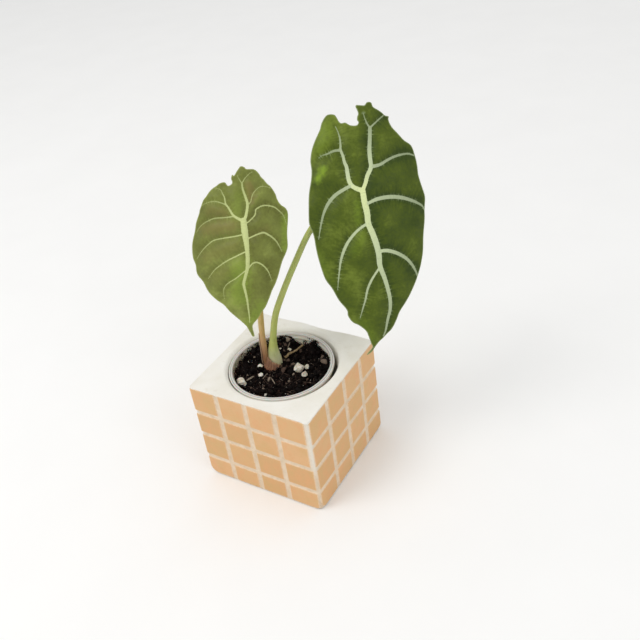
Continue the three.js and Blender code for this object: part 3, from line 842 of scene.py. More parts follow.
def stalk_look(name, stops, blotch, low, high):
    """Colours at heights in millimetres, with fine streaks along the stalk and soft blotches."""
    look = Look(name, 0.38, Specular_IOR_Level=0.45, Subsurface_Weight=0.1, Subsurface_Scale=0.001)
    places = [((height - low) / (high - low), colour) for height, colour in stops]
    body = look.ramp(look.fade_straight(look.mark("height"), low, high), *places)
    around = look.vector(look.mark("turn_x"), look.mark("turn_y"), look.times(look.mark("run"), 0.03))
    streaks = look.noise(0.16, 3, 0.55, at=around)
    body = look.tint(body, streaks, 0.42, 0.75, 0.3, blotch)
    look.colour(look.tint(body, look.noise(4.5, 3, 0.6), 0.45, 0.75, 0.35, blotch))
    look.bump(streaks, 0.12, 0.5)
    look.bump(look.noise(0.35, 2), 0.03, 0.4)
    return look


def cement_look():
    look = Look("cement", 0.62, Specular_IOR_Level=0.3)
    body = look.ramp(
        look.noise(22, 4, 0.55),
        (0.3, screen(230, 226, 214)), (0.55, screen(239, 236, 228)), (0.8, screen(244, 243, 238)),
    )
    body = look.tint(body, look.noise(0.55, 2, 0.5), 0.66, 0.78, 0.3, screen(200, 193, 176))
    smudge = look.noise(4, 4, 0.65, warp=0.6)
    look.colour(look.tint(body, smudge, 0.58, 0.78, 0.35, screen(212, 203, 186)))
    look.bump(look.noise(9, 3), 0.25, 0.5)
    look.bump(look.noise(0.8, 4, 0.65), 0.05, 0.5)
    return look


def tile_look():
    look = Look("tile", 0.58, Specular_IOR_Level=0.3)
    tones = (screen(213, 169, 118), screen(218, 175, 124), screen(223, 178, 130))
    body = look.ramp(look.mark("tone"), (0.0, tones[0]), (0.5, tones[1]), (1.0, tones[2]))
    body = look.tint(body, look.noise(5, 3, 0.55), 0.4, 0.72, 0.5, screen(224, 166, 117))
    drift = look.noise(11, 2, 0.5, warp=0.6)
    body = look.tint(body, drift, 0.45, 0.75, 0.4, screen(206, 174, 116))
    grain = look.noise(0.28, 3, 0.6)
    body = look.tint(body, grain, 0.5, 0.85, 0.3, screen(192, 138, 96))
    near_edge = look.fade(look.mark("edge"), 0.05, 1.0, 0.75, 0)
    worn = look.times(near_edge, look.fade(look.noise(1.3), 0.3, 0.6, 0.45, 1))
    body = look.mix(worn, body, screen(236, 214, 186))
    look.colour(body)
    look.rough(look.fade(grain, 0.3, 0.8, 0.5, 0.7))
    look.bump(look.noise(3, 2), 0.12, 0.5)
    look.bump(grain, 0.03, 0.6)
    return look


def grout_look():
    look = Look("grout", 0.9, Specular_IOR_Level=0.2)
    cloud = look.noise(4, 3, 0.6)
    body = look.ramp(
        cloud,
        (0.3, screen(215, 194, 166)), (0.6, screen(229, 209, 184)), (0.85, screen(235, 219, 198)),
    )
    sand = look.noise(0.25, 3, 0.6)
    body = look.mix(look.times(look.mark("corner"), 0.8), body, screen(232, 228, 218))
    look.colour(look.tint(body, sand, 0.45, 0.8, 0.35, screen(198, 180, 154)))
    look.bump(look.noise(0.9, 2), 0.12, 0.6)
    look.bump(sand, 0.05, 0.8)
    return look


def cup_look():
    look = Look("cup", 0.32, Subsurface_Weight=0.25, Subsurface_Scale=0.002, Specular_IOR_Level=0.5)
    height, inward = look.mark("height"), look.mark("inward")
    wall = look.ramp(
        look.fade(height, CUP_NECK - 7, CUP_TOP - 1),
        (0.0, screen(226, 214, 188)), (0.5, screen(240, 232, 212)), (0.95, screen(236, 231, 219)),
    )
    haze = look.noise(5, 3, 0.6)
    wall = look.tint(wall, haze, 0.4, 0.75, 0.4, screen(192, 180, 156))
    smear = look.noise(1.5, 4, 0.65, warp=0.5)
    low = look.fade(height, SOIL_TOP + 1, CUP_NECK, 0.5, 0.7)
    dirt = look.fade(look.math("SUBTRACT", smear, low), -0.02, 0.08)
    reach = look.fade(height, CUP_NECK + 0.2, CUP_NECK - 0.6, 0, 0.85)
    dirt = look.times(look.times(dirt, reach), look.mark("inner"))
    # Darker on the left part of the wall: partly grime of stuck soil dust, partly painted shade.
    grime_and_painted_shade = look.fade(look.mark("side"), -10, -22, 0, 0.95)
    wall = look.mix(look.times(grime_and_painted_shade, look.fade(haze, 0.3, 0.55, 0.5, 1)), wall, screen(150, 140, 116))
    body = look.mix(dirt, wall, screen(74, 58, 46))
    # Painted shade on the rim: a dark line in the groove of the lip, and greyer towards the inner edge, where
    # less light falls.
    rim = look.ramp(
        look.fade_straight(inward, 0, 2.6),
        (0.0, screen(214, 212, 205)), (0.27, screen(222, 220, 214)), (0.33, screen(150, 147, 140)),
        (0.4, screen(160, 157, 150)), (0.47, screen(206, 204, 198)), (0.8, screen(198, 195, 188)),
        (1.0, screen(180, 175, 164)),
    )
    on_rim = look.fade(height, CUP_TOP - 1.0, CUP_TOP - 0.6)
    look.colour(look.mix(on_rim, body, rim))
    look.rough(look.plus(look.times(dirt, 0.4), 0.32))
    look.bump(haze, 0.06, 0.4)
    return look


def soil_look():
    look = Look("soil", 0.72, Specular_IOR_Level=0.08)
    body = look.ramp(
        look.mark("tone"),
        (0.0, screen(9, 5, 4)), (0.2, screen(23, 14, 12)), (0.42, screen(58, 38, 32)),
        (0.6, screen(112, 94, 82)), (0.8, screen(162, 147, 130)), (1.0, screen(224, 217, 206)),
    )
    grit = look.noise(0.45, 4, 0.65)
    look.colour(look.tint(body, grit, 0.4, 0.75, 0.55, screen(16, 10, 9)))
    look.rough(look.fade(look.noise(2.2, 2), 0.38, 0.62, 0.45, 0.92))
    look.bump(grit, 0.3, 0.8)
    look.bump(look.noise(0.16, 2), 0.08, 0.6)
    return look


def perlite_look():
    look = Look("perlite", 0.85, Subsurface_Weight=0.15, Subsurface_Scale=0.0006, Specular_IOR_Level=0.3)
    pits = look.cells(0.42, feature="F1")
    stain = look.noise(1.4, 3, 0.6)
    body = look.ramp(
        stain,
        (0.3, screen(196, 182, 158)), (0.48, screen(226, 217, 200)), (0.7, screen(243, 239, 230)),
    )
    # Darker in the pits: painted shade in the hollows that the bump makes.
    look.colour(look.tint(body, pits, 0.5, 0.15, 0.4, screen(168, 152, 128)))
    look.bump(pits, 0.25, 0.8)
    look.bump(look.noise(0.7, 4, 0.7), 0.3, 0.7)
    return look


def sheath_look():
    """Brown at tone 0 and pale at tone 1."""
    look = Look("sheath", 0.7, Specular_IOR_Level=0.25)
    around = look.vector(look.times(look.mark("turn"), 9.0), look.times(look.mark("height"), 0.12), 0.0)
    fibres = look.noise(0.5, 4, 0.6, at=around)
    body = look.ramp(
        fibres,
        (0.3, screen(92, 56, 40)), (0.5, screen(130, 84, 60)), (0.72, screen(168, 124, 94)),
    )
    body = look.tint(body, look.noise(1.7, 3), 0.5, 0.75, 0.5, screen(80, 48, 34))
    bleached = look.times(look.mark("tone"), look.fade(fibres, 0.3, 0.6, 1, 0.8))
    body = look.mix(bleached, body, screen(206, 176, 148))
    ragged = look.times(look.fade(look.mark("lip"), 0.8, 1.0), 0.5)
    body = look.mix(ragged, body, screen(188, 146, 108))
    look.colour(body)
    look.bump(fibres, 0.2, 0.8)
    return look


def bark_look(name, stops, deep, size):
    """A rough skin in three colours with darker specks."""
    look = Look(name, 0.7, Specular_IOR_Level=0.3)
    body = look.ramp(look.noise(size, 3, 0.6), *zip((0.3, 0.55, 0.8), stops))
    look.colour(look.tint(body, look.noise(size / 4, 3), 0.5, 0.8, 0.6, deep))
    look.bump(look.noise(size / 4, 3), 0.1, 0.8)
    return look


# Planter

# Each side's turn from the front in degrees, and how far out it lies.
FACES = {
    "front": (0, -SHELL_LOW[1]),
    "right": (90, SHELL_HIGH[0]),
    "back": (180, SHELL_HIGH[1]),
    "left": (270, -SHELL_LOW[0]),
}


def face_axes(turn):
    """A face's direction to the viewer's right and its direction outwards."""
    angle = math.radians(turn)
    across = np.array((math.cos(angle), math.sin(angle), 0))
    return across, np.array((math.sin(angle), -math.cos(angle), 0))


def tile_places(face):
    """For each row, its lowest and highest level and where each of its tiles starts and ends."""
    across, _ = face_axes(FACES[face][0])
    rows = []
    for row in range(TILE_ROWS):
        low, high = box_mm(f"tile_row_{face}_{row + 1}")
        ends = sorted((across @ low, across @ high))
        pitch = (ends[1] - ends[0] + COLUMN_JOINT) / TILES_PER_ROW
        starts = [ends[0] + i * pitch for i in range(TILES_PER_ROW)]
        spans = [[start, start + pitch - COLUMN_JOINT] for start in starts]
        if face == "front":
            spans[-1][1] += FRONT_TILE_EXTRA[row]
        if face == "right":
            spans[0][0] -= RIGHT_TILE_EXTRA
        rows.append((low[2], high[2], spans))
    return rows


TILES = {face: tile_places(face) for face in FACES}


def rounded_rectangle(width, height, radii, steps):
    """Points round a rectangle, with its own radius at each corner, from the lower left."""
    points = []
    for corner, radius in enumerate(radii):
        sx, sy = ((-1, -1), (1, -1), (1, 1), (-1, 1))[corner]
        centre = np.array((sx * (width / 2 - radius), sy * (height / 2 - radius)))
        for step in range(steps):
            angle = math.radians(180 + 90 * corner + 90 * step / (steps - 1))
            points.append(centre + radius * toward(angle))
    return np.array(points)


def tile_skin(width, height, radii, depth, generator):
    """A softly rounded tile: [across, up, outwards] points about its middle."""
    outline = rounded_rectangle(width, height, radii, 8)
    wobble = rough(lifted(outline, generator.uniform(0, 90)), 5, 2)
    inward = -outline / np.linalg.norm(outline, axis=1)[:, None]
    outline = outline + inward * (0.1 + 0.15 * wobble)[:, None]
    size = np.array((width, height))
    rings = [lifted(outline * 0.985, -depth)]
    for turn in np.radians(np.linspace(0, 90, 6)):
        inset, drop = TILE_ROUND * (1 - math.cos(turn)), TILE_ROUND * (1 - math.sin(turn))
        rings.append(lifted(outline * (1 - 2 * inset / size), -drop))
    top = outline * (1 - 2 * TILE_ROUND / size)
    for share in (0.86, 0.66, 0.4, 0.18):
        rings.append(lifted(top * share, 0.0))
    points, faces = capped_rings(rings, (0, 0, -depth), (0, 0, 0))
    swell = rough(lifted(points[:, :2], generator.uniform(0, 90)), 7, 2)
    front = points[:, 2] > -TILE_ROUND
    points[:, 2] -= np.where(front, 0.06 + 0.05 * swell, 0)
    return points, faces


def tile_corners(row, column, generator):
    """Corner radii of a tile. The planter's lowest corner tiles are worn round."""
    radii = list(generator.uniform(0.5, 1.1, 4))
    if row == TILE_ROWS - 1 and column == 0:
        radii[0] = WORN_LEFT_CORNER
    if row == TILE_ROWS - 1 and column == TILES_PER_ROW - 1:
        radii[1] = WORN_RIGHT_CORNER
    return radii


def add_tiles(look):
    generator = np.random.default_rng(SEED)
    for face, rows in TILES.items():
        turn, reach = FACES[face]
        across, out = face_axes(turn)
        for row, (low, high, spans) in enumerate(rows):
            for column, (start, end) in enumerate(spans):
                radii = tile_corners(row, column, generator)
                depth = CORNER_TILE_DEPTH if column in (0, TILES_PER_ROW - 1) else TILE_DEPTH
                points, faces = tile_skin(end - start, high - low, radii, depth, generator)
                gap_x = (end - start) / 2 - np.abs(points[:, 0])
                gap_y = (high - low) / 2 - np.abs(points[:, 1])
                lean = math.radians(generator.uniform(-0.5, 0.5))
                c, s = math.cos(lean), math.sin(lean)
                flat = points[:, :2] @ np.array(((c, -s), (s, c)))
                sink = generator.uniform(0.0, 0.12)
                middle = (start + end) / 2 + generator.uniform(-0.12, 0.12)
                level = (low + high) / 2 + generator.uniform(-0.1, 0.1)
                placed = (flat[:, :1] + middle) * across + (points[:, 2:] + reach - sink) * out
                placed[:, 2] = np.maximum(flat[:, 1] + level, 0.12)
                shape = Shape("tone", "edge")
                tone = generator.uniform(0, 1)
                shape.add(placed, faces, tone=tone, edge=np.minimum(gap_x, gap_y))
                name = f"tile_{face}_{row + 1}_{column + 1}"
                shape.build(name, [look], [f"tile_row_{face}_{row + 1}"])


def square_outline(half_x, half_y, radius):
    """Points round a rounded rectangle about the origin, seen from above, counter-clockwise."""
    per_side, per_corner = 64, 6
    corners = np.array([(half_x, -half_y), (half_x, half_y), (-half_x, half_y), (-half_x, -half_y)])
    centres = corners - radius * np.sign(corners)
    points = []
    for i, centre in enumerate(centres):
        for step in range(per_corner):
            angle = math.radians(-90 + 90 * i + 90 * step / (per_corner - 1))
            points.append(centre + radius * toward(angle))
        start, turn = points[-1], math.radians(90 * i)
        target = centres[(i + 1) % 4] + radius * toward(turn)
        for step in range(1, per_side):
            points.append(start + (target - start) * step / per_side)
    return np.array(points)


def joint_dips(outline):
    """How much of a tile joint lies under each outline point: 1 in a joint, 0 over a tile."""
    dips = np.zeros(len(outline))
    for face, rows in TILES.items():
        turn, reach = FACES[face]
        across, out = face_axes(turn)
        place = outline @ across[:2]
        on_face = outline @ out[:2] > reach - 3
        spans = rows[0][2]
        for left, right in zip(spans[:-1], spans[1:]):
            middle = (left[1] + right[0]) / 2
            dips += on_face * np.exp(-(((place - middle) / (COLUMN_JOINT * 0.42)) ** 2))
        for side, end in ((-1, spans[0][0]), (1, spans[-1][1])):
            dips += on_face * smooth_step(side * place, side * end - 0.6, side * end + 0.8)
    return np.clip(dips, 0, 1)


def hole_reach(angles):
    """Radius of the hole at its mouth: close round the nursery pot's rim on its back and left."""
    rim = CUP_RIM + CUP_CENTRE[0] * np.cos(angles) + CUP_CENTRE[1] * np.sin(angles)
    share = (1 + np.cos(angles - math.radians(HOLE_WIDEST_TURN))) / 2
    return rim + HOLE_GAP_LEAST + HOLE_GAP_MORE * share ** 1.5


def add_planter(look):
    half_x, half_y = SHELL_HIGH[:2]
    top = SHELL_HIGH[2]
    outline = square_outline(half_x, half_y, BODY_ROUND)
    outward = outline / np.linalg.norm(outline, axis=1)[:, None]
    angle = np.arctan2(outline[:, 1], outline[:, 0])
    circle = np.column_stack([np.cos(angle), np.sin(angle)])
    mouth = circle * hole_reach(angle)[:, None]
    ragged = rough(lifted(outline, 0), 6, 4, seed=3)
    foot_round = 1.6
    rings = [lifted(circle * r, HOLE_FLOOR) for r in (10, 20, HOLE_NARROW - foot_round)]
    for turn in np.radians((30, 60, 90)):
        reach = HOLE_NARROW - foot_round * (1 - math.sin(turn))
        rings.append(lifted(circle * reach, HOLE_FLOOR + foot_round * (1 - math.cos(turn))))
    for z in np.linspace(HOLE_FLOOR + 5, top - HOLE_ROUND, 50):
        wide = smooth_step(z, CUP_NECK - 2.5, CUP_NECK + 0.6)
        rings.append(lifted(circle * HOLE_NARROW * (1 - wide) + mouth * wide, z))
    for turn in np.radians(np.linspace(0, 90, 9)[1:]):
        widened = mouth + circle * HOLE_ROUND * (1 - math.cos(turn))
        rings.append(lifted(widened, top - HOLE_ROUND * (1 - math.sin(turn))))
    trim = 0.06 + 0.14 * (ragged + 1)
    at_back = smooth_step(outline[:, 1], half_y - 3, half_y - 1)
    trim += at_back * 0.45 * (1 + np.sin(outline[:, 0] / 5.2))
    lip = outline - outward * trim[:, None]
    start, end = mouth + circle * HOLE_ROUND, lip * 0.99
    for share in (0.12, 0.26, 0.42, 0.6, 0.78, 0.92, 1):
        rings.append(lifted(start + (end - start) * share, top))
    dips = joint_dips(outline)
    low_edge = top - 0.75 - 0.15 * ragged - 0.75 * dips
    rings.append(lifted(lip * 0.9985, top - 0.1))
    rings.append(lifted(lip, top - 0.32))
    rings.append(lifted(lip, (top - 0.32 + low_edge) / 2))
    rings.append(lifted(lip - outward * (0.1 + 0.25 * dips)[:, None], low_edge))
    body = square_outline(half_x - BODY_INSET, half_y - BODY_INSET, BODY_ROUND)
    rings.append(lifted(body, low_edge - 0.25))
    for z in np.linspace(top - 6, 5, 12):
        rings.append(lifted(body, z))
    edge_round = 2.2
    for turn in np.radians((30, 60, 90)):
        tucked = 1 - edge_round * (1 - math.cos(turn)) / half_x
        rings.append(lifted(body * tucked, edge_round * (1 - math.sin(turn)) + BODY_FOOT))
    rings.append(lifted(body * 0.5, BODY_FOOT))
    points, faces = capped_rings(rings, (0, 0, HOLE_FLOOR), (0, 0, BODY_FOOT))
    faces = [face[::-1] for face in faces]
    # The last two points are the ends of the skin, on the axis.
    radius = np.hypot(*points[:-2, :2].T)
    in_mouth = np.append(radius < np.tile(np.hypot(*start.T), len(rings)) - 0.1, [True, True])
    on_top = (points[:, 2] > top - 0.01) & ~in_mouth
    points[:, 2] -= np.where(on_top, 0.05 + 0.05 * rough(points, 14, 3, seed=5), 0)
    in_hole = in_mouth & (points[:, 2] > HOLE_FLOOR + 2)
    push = 1 + np.where(in_hole, 0.003 * (1 + rough(points, 12, 2, seed=6)), 0)
    points[:, :2] *= push[:, None]
    add_plain("planter_block", points, faces, look, "planter_shell")


def tile_cover(flat, z, radius):
    """How deep each point of the planter's sides lies behind a tile; negative in a joint."""
    clear_of_tiles = -9.0
    cover = np.full(len(flat), clear_of_tiles)
    for face, rows in TILES.items():
        turn, reach = FACES[face]
        across, out = face_axes(turn)
        place = flat @ across[:2]
        on_face = flat @ out[:2] > reach - radius
        for low, high, spans in rows:
            level = np.minimum(z - low, high - z)
            for start, end in spans:
                depth = np.minimum(np.minimum(place - start, end - place), level)
                cover = np.maximum(cover, np.where(on_face, depth, clear_of_tiles))
    return cover


def corner_share(flat, half_x, half_y):
    """1 at the planter's vertical edges, falling to 0 a few millimetres away from them."""
    gap = np.maximum(half_x - np.abs(flat[:, 0]), half_y - np.abs(flat[:, 1]))
    return 1 - smooth_step(gap, 0, 5)


def add_grout(look):
    """One net of grout round all four sides, with a window behind each tile."""
    half_x, half_y = SHELL_HIGH[:2]
    step, radius = 0.62, 1.7
    outline = even(square_outline(half_x, half_y, radius), step, closed=True)
    foot, head = 0.5, SHELL_HIGH[2] - 1.1
    levels = np.linspace(foot, head, int((head - foot) / step))
    tangent = np.roll(outline, -1, 0) - np.roll(outline, 1, 0)
    tangent /= np.linalg.norm(tangent, axis=1)[:, None]
    outward = np.column_stack([tangent[:, 1], -tangent[:, 0]])
    rows, columns = len(levels), len(outline)
    flat, z = np.tile(outline, (rows, 1)), np.repeat(levels, columns)
    cover = tile_cover(flat, z, radius)
    grain = rough(lifted(flat, z), 2.2, 4, seed=9)
    hollow = np.clip(-cover / (COLUMN_JOINT / 2), 0, 1)
    sink = GROUT_DROP - 0.2 + 0.2 * hollow + 0.12 * grain
    sink += smooth_step(9 - z, 0, 9) * 1.5 * corner_share(flat, half_x, half_y)
    normal = np.tile(outward, (rows, 1))
    front = lifted(flat - normal * sink[:, None], z)
    back = lifted(flat - normal * (sink + GROUT_THICKNESS)[:, None], z)
    quads = np.array(grid_faces(rows, columns))
    quads = quads[cover[quads].min(1) < 1.0]
    count = rows * columns
    faces = [tuple(quad) for quad in quads] + [tuple(quad[::-1] + count) for quad in quads]
    edges = {edge for quad in quads for edge in zip(quad, np.roll(quad, -1))}
    for a, b in sorted(edges):
        if (b, a) not in edges:
            faces.append((b, a, a + count, b + count))
    used, compact = np.unique(np.array(faces), return_inverse=True)
    corner = corner_share(flat, half_x, half_y) * smooth_step(z, 24, 36)
    shape = Shape("corner")
    shape.add(np.vstack([front, back])[used], compact.reshape(-1, 4), corner=np.tile(corner, 2)[used])
    shape.build("grout_net", [look], [f"grout_{face}" for face in FACES], sharp=60)


# Nursery pot and potting mix

def cup_inside(z):
    share = (np.asarray(z) - CUP_FOOT) / (CUP_NECK - CUP_FOOT)
    return CUP_FOOT_RADIUS + (CUP_RIM - CUP_LIP - CUP_FOOT_RADIUS) * share - CUP_WALL


def cup_profile():
    """The nursery pot's wall as [radius, height], outside upwards and then inside downwards."""
    neck, top = CUP_RIM - CUP_LIP, CUP_TOP
    inner, floor = neck - CUP_WALL, CUP_FOOT + CUP_FLOOR
    outside = [
        (CUP_FOOT_RADIUS - 1, CUP_FOOT), (CUP_FOOT_RADIUS - 0.2, CUP_FOOT + 0.25),
        (CUP_FOOT_RADIUS, CUP_FOOT + 1),
    ]
    outside += [(float(cup_inside(z)) + CUP_WALL, z) for z in np.linspace(CUP_FOOT + 5, CUP_NECK - 0.3, 16)]
    outside += [
        (neck + 0.1, CUP_NECK), (CUP_RIM - 0.35, CUP_NECK + 0.1), (CUP_RIM - 0.05, CUP_NECK + 0.45),
        (CUP_RIM, CUP_NECK + 1), (CUP_RIM, top - 0.75), (CUP_RIM - 0.08, top - 0.4),
        (CUP_RIM - 0.3, top - 0.12), (CUP_RIM - 0.6, top - 0.1), (CUP_RIM - 0.8, top - 0.24),
        (CUP_RIM - 1, top - 0.26), (CUP_RIM - 1.2, top - 0.12), (CUP_RIM - 1.5, top),
        (CUP_RIM - 1.9, top - 0.03), (inner + 0.15, top - 0.25),
    ]
    inside_wall = [
        (inner, top - 0.9), (inner - 0.02, CUP_NECK + 0.5), (inner - 0.15, CUP_NECK + 0.15),
        (inner - 0.38, CUP_NECK - 0.1), (inner - 0.4, CUP_NECK - 0.6), (inner - 0.12, CUP_NECK - 0.95),
    ]
    inside_wall += [(float(cup_inside(z)), z) for z in np.linspace(CUP_NECK - 2, floor + 1.2, 22)]
    inside_wall += [
        (float(cup_inside(floor)) - 0.4, floor + 0.2), (float(cup_inside(floor)) - 1, floor),
    ]
    return np.array(outside + inside_wall), len(outside)


def add_cup(look):
    columns = 176
    profile, first_inner = cup_profile()
    circle = ring_of(columns)
    angles = np.arctan2(circle[:, 1], circle[:, 0])
    out_of_round = 0.0022 * np.cos(2 * angles + 0.7) + 0.0012 * np.cos(3 * angles + 2)
    rings = []
    for radius, z in profile:
        bent = 1 + out_of_round * smooth_step(z, 30, CUP_TOP)
        rings.append(lifted(circle * (radius * bent)[:, None], z))
    points = np.vstack(rings)
    faces = grid_faces(len(profile), columns)
    sides = CUP_HOLES["sides"]
    holes = []
    for turn in np.arange(CUP_HOLES["count"]) * 2 * np.pi / CUP_HOLES["count"]:
        middle = CUP_HOLES["ring"] * toward(turn)
        holes.append(middle + CUP_HOLES["radius"] * ring_of(sides))
    last = (len(profile) - 1) * columns
    top_flat, top_faces = triangulate(points[last:, :2], 2.4, holes)
    low_flat, low_faces = triangulate(points[:columns, :2], 2.4, holes)
    top_base = len(points)
    low_base = top_base + len(top_flat) - columns
    extra = [lifted(top_flat[columns:], CUP_FOOT + CUP_FLOOR), lifted(low_flat[columns:], CUP_FOOT)]
    points = np.vstack([points, *extra])
    # A floor's first points are those of the wall's last or first ring.
    upper = np.concatenate([last + np.arange(columns), top_base + np.arange(len(extra[0]))])
    lower = np.concatenate([np.arange(columns), low_base + np.arange(len(extra[1]))])
    faces += [tuple(upper[face]) for face in top_faces]
    faces += [tuple(lower[face[::-1]]) for face in low_faces]
    for hole in range(CUP_HOLES["count"]):
        ring = [columns + hole * sides + i for i in range(sides)]
        for a, b in zip(ring, ring[1:] + ring[:1]):
            faces.append((upper[a], upper[b], lower[b], lower[a]))
    inner = np.arange(len(points)) >= first_inner * columns
    inward = CUP_RIM - np.hypot(points[:, 0], points[:, 1])
    points[:, :2] += CUP_CENTRE
    shape = Shape("height", "inner", "inward", "side")
    shape.add(points, faces, height=points[:, 2], inner=inner, inward=inward, side=points[:, 0])
    shape.build("nursery_cup", [look], ["nursery_pot"])


def border_level(dx, dy):
    """How high the dirt reaches on the wall, in the direction of a place from the pot's axis."""
    direction = np.degrees(np.arctan2(dy, dx)) % 360
    return np.interp(direction, BORDER_TURNS, BORDER_LEVELS)


def soil_height(x, y):
    wave = np.sin(x / 5.5 + 1) * np.cos(y / 4.7) + 0.5 * np.sin(y / 2.9 + x / 9)
    height = SOIL_TOP + SOIL_WAVE * wave
    dx, dy = x - CUP_CENTRE[0], y - CUP_CENTRE[1]
    near_wall = smooth_step(np.hypot(dx, dy), 18.5, 26)
    height = height + 0.5 * near_wall * (border_level(dx, dy) - SOIL_TOP)
    for turn, radius, width, rise in HEAPS:
        turn = math.radians(turn)
        gap = np.hypot(dx - radius * math.cos(turn), dy - radius * math.sin(turn))
        height = height + rise * np.exp(-((gap / width) ** 2))
    return height


def on_soil(pixel, lift):
    """The place just above the potting mix that the camera sees at a pixel."""
    place = on_level(pixel, SOIL_TOP)
    for _ in range(6):
        place = on_level(pixel, float(soil_height(place[0], place[1])) + lift)
    return place


def unit_ball(subdivisions):
    ball = bmesh.new()
    bmesh.ops.create_icosphere(ball, subdivisions=subdivisions, radius=1)
    points = np.array([tuple(v.co) for v in ball.verts])
    faces = [[v.index for v in face.verts] for face in ball.faces]
    ball.free()
    return points, faces


def random_turn(generator):
    axis = generator.normal(size=3)
    return np.array(Matrix.Rotation(generator.uniform(0, 2 * math.pi), 3, Vector(axis).normalized()))


def angular(unit, generator, cuts, depth):
    """A ball's points pulled in to random flat cuts, as a broken grain has them."""
    normals = generator.normal(size=(cuts, 3))
    normals /= np.linalg.norm(normals, axis=1)[:, None]
    limits = generator.uniform(*depth, cuts)
    facing = np.maximum(unit @ normals.T, 0.001)
    return unit * np.minimum((limits / facing).min(1), 1.12)[:, None]


def soil_skin(shape):
    """The closed body of the potting mix, with its lumpy top."""
    columns = 190
    circle = ring_of(columns)
    rings = []
    for z in np.linspace(SOIL_FOOT, SOIL_TOP - 2, 5):
        rings.append(lifted(circle * (float(cup_inside(z)) - 0.25) + CUP_CENTRE, z))
    edge = cup_inside(SOIL_TOP) - 0.2
    for share in np.linspace(1, 0.02, 60):
        flat = circle * edge * share + CUP_CENTRE
        z = soil_height(flat[:, 0], flat[:, 1])
        at_wall = share > 0.985
        reach = cup_inside(z) - 0.25 if at_wall else np.full(columns, edge * share)
        ring = lifted(circle * reach[:, None] + CUP_CENTRE, z)
        lumps = 1.2 * rough(ring, 3.6, 3, seed=11) + 0.6 * rough(ring, 1.1, 2, seed=12)
        ring[:, 2] += lumps * (not at_wall)
        rings.append(ring)
    points, faces = capped_rings(rings, (*CUP_CENTRE, SOIL_FOOT), rings[-1].mean(0))
    tone = np.clip(0.1 + 0.16 * rough(points, 2.5, 3, seed=13), 0, 0.4)
    shape.add(points, faces, tone=tone)


def clear_spot(generator, edge):
    """A random place on the potting mix, clear of the stem, or None."""
    radius, angle = edge * math.sqrt(generator.uniform()), generator.uniform(0, 2 * math.pi)
    place = CUP_CENTRE + radius * toward(angle)
    clear = np.linalg.norm(place - STEM_CENTRE) > STEM_CLEARANCE
    return place if clear else None


def crumb_tone(generator):
    kind = generator.uniform()
    if kind < 0.8:
        return generator.uniform(0, 0.2)
    if kind < 0.95:
        return generator.uniform(0.25, 0.48)
    return generator.uniform(0.5, 0.72)


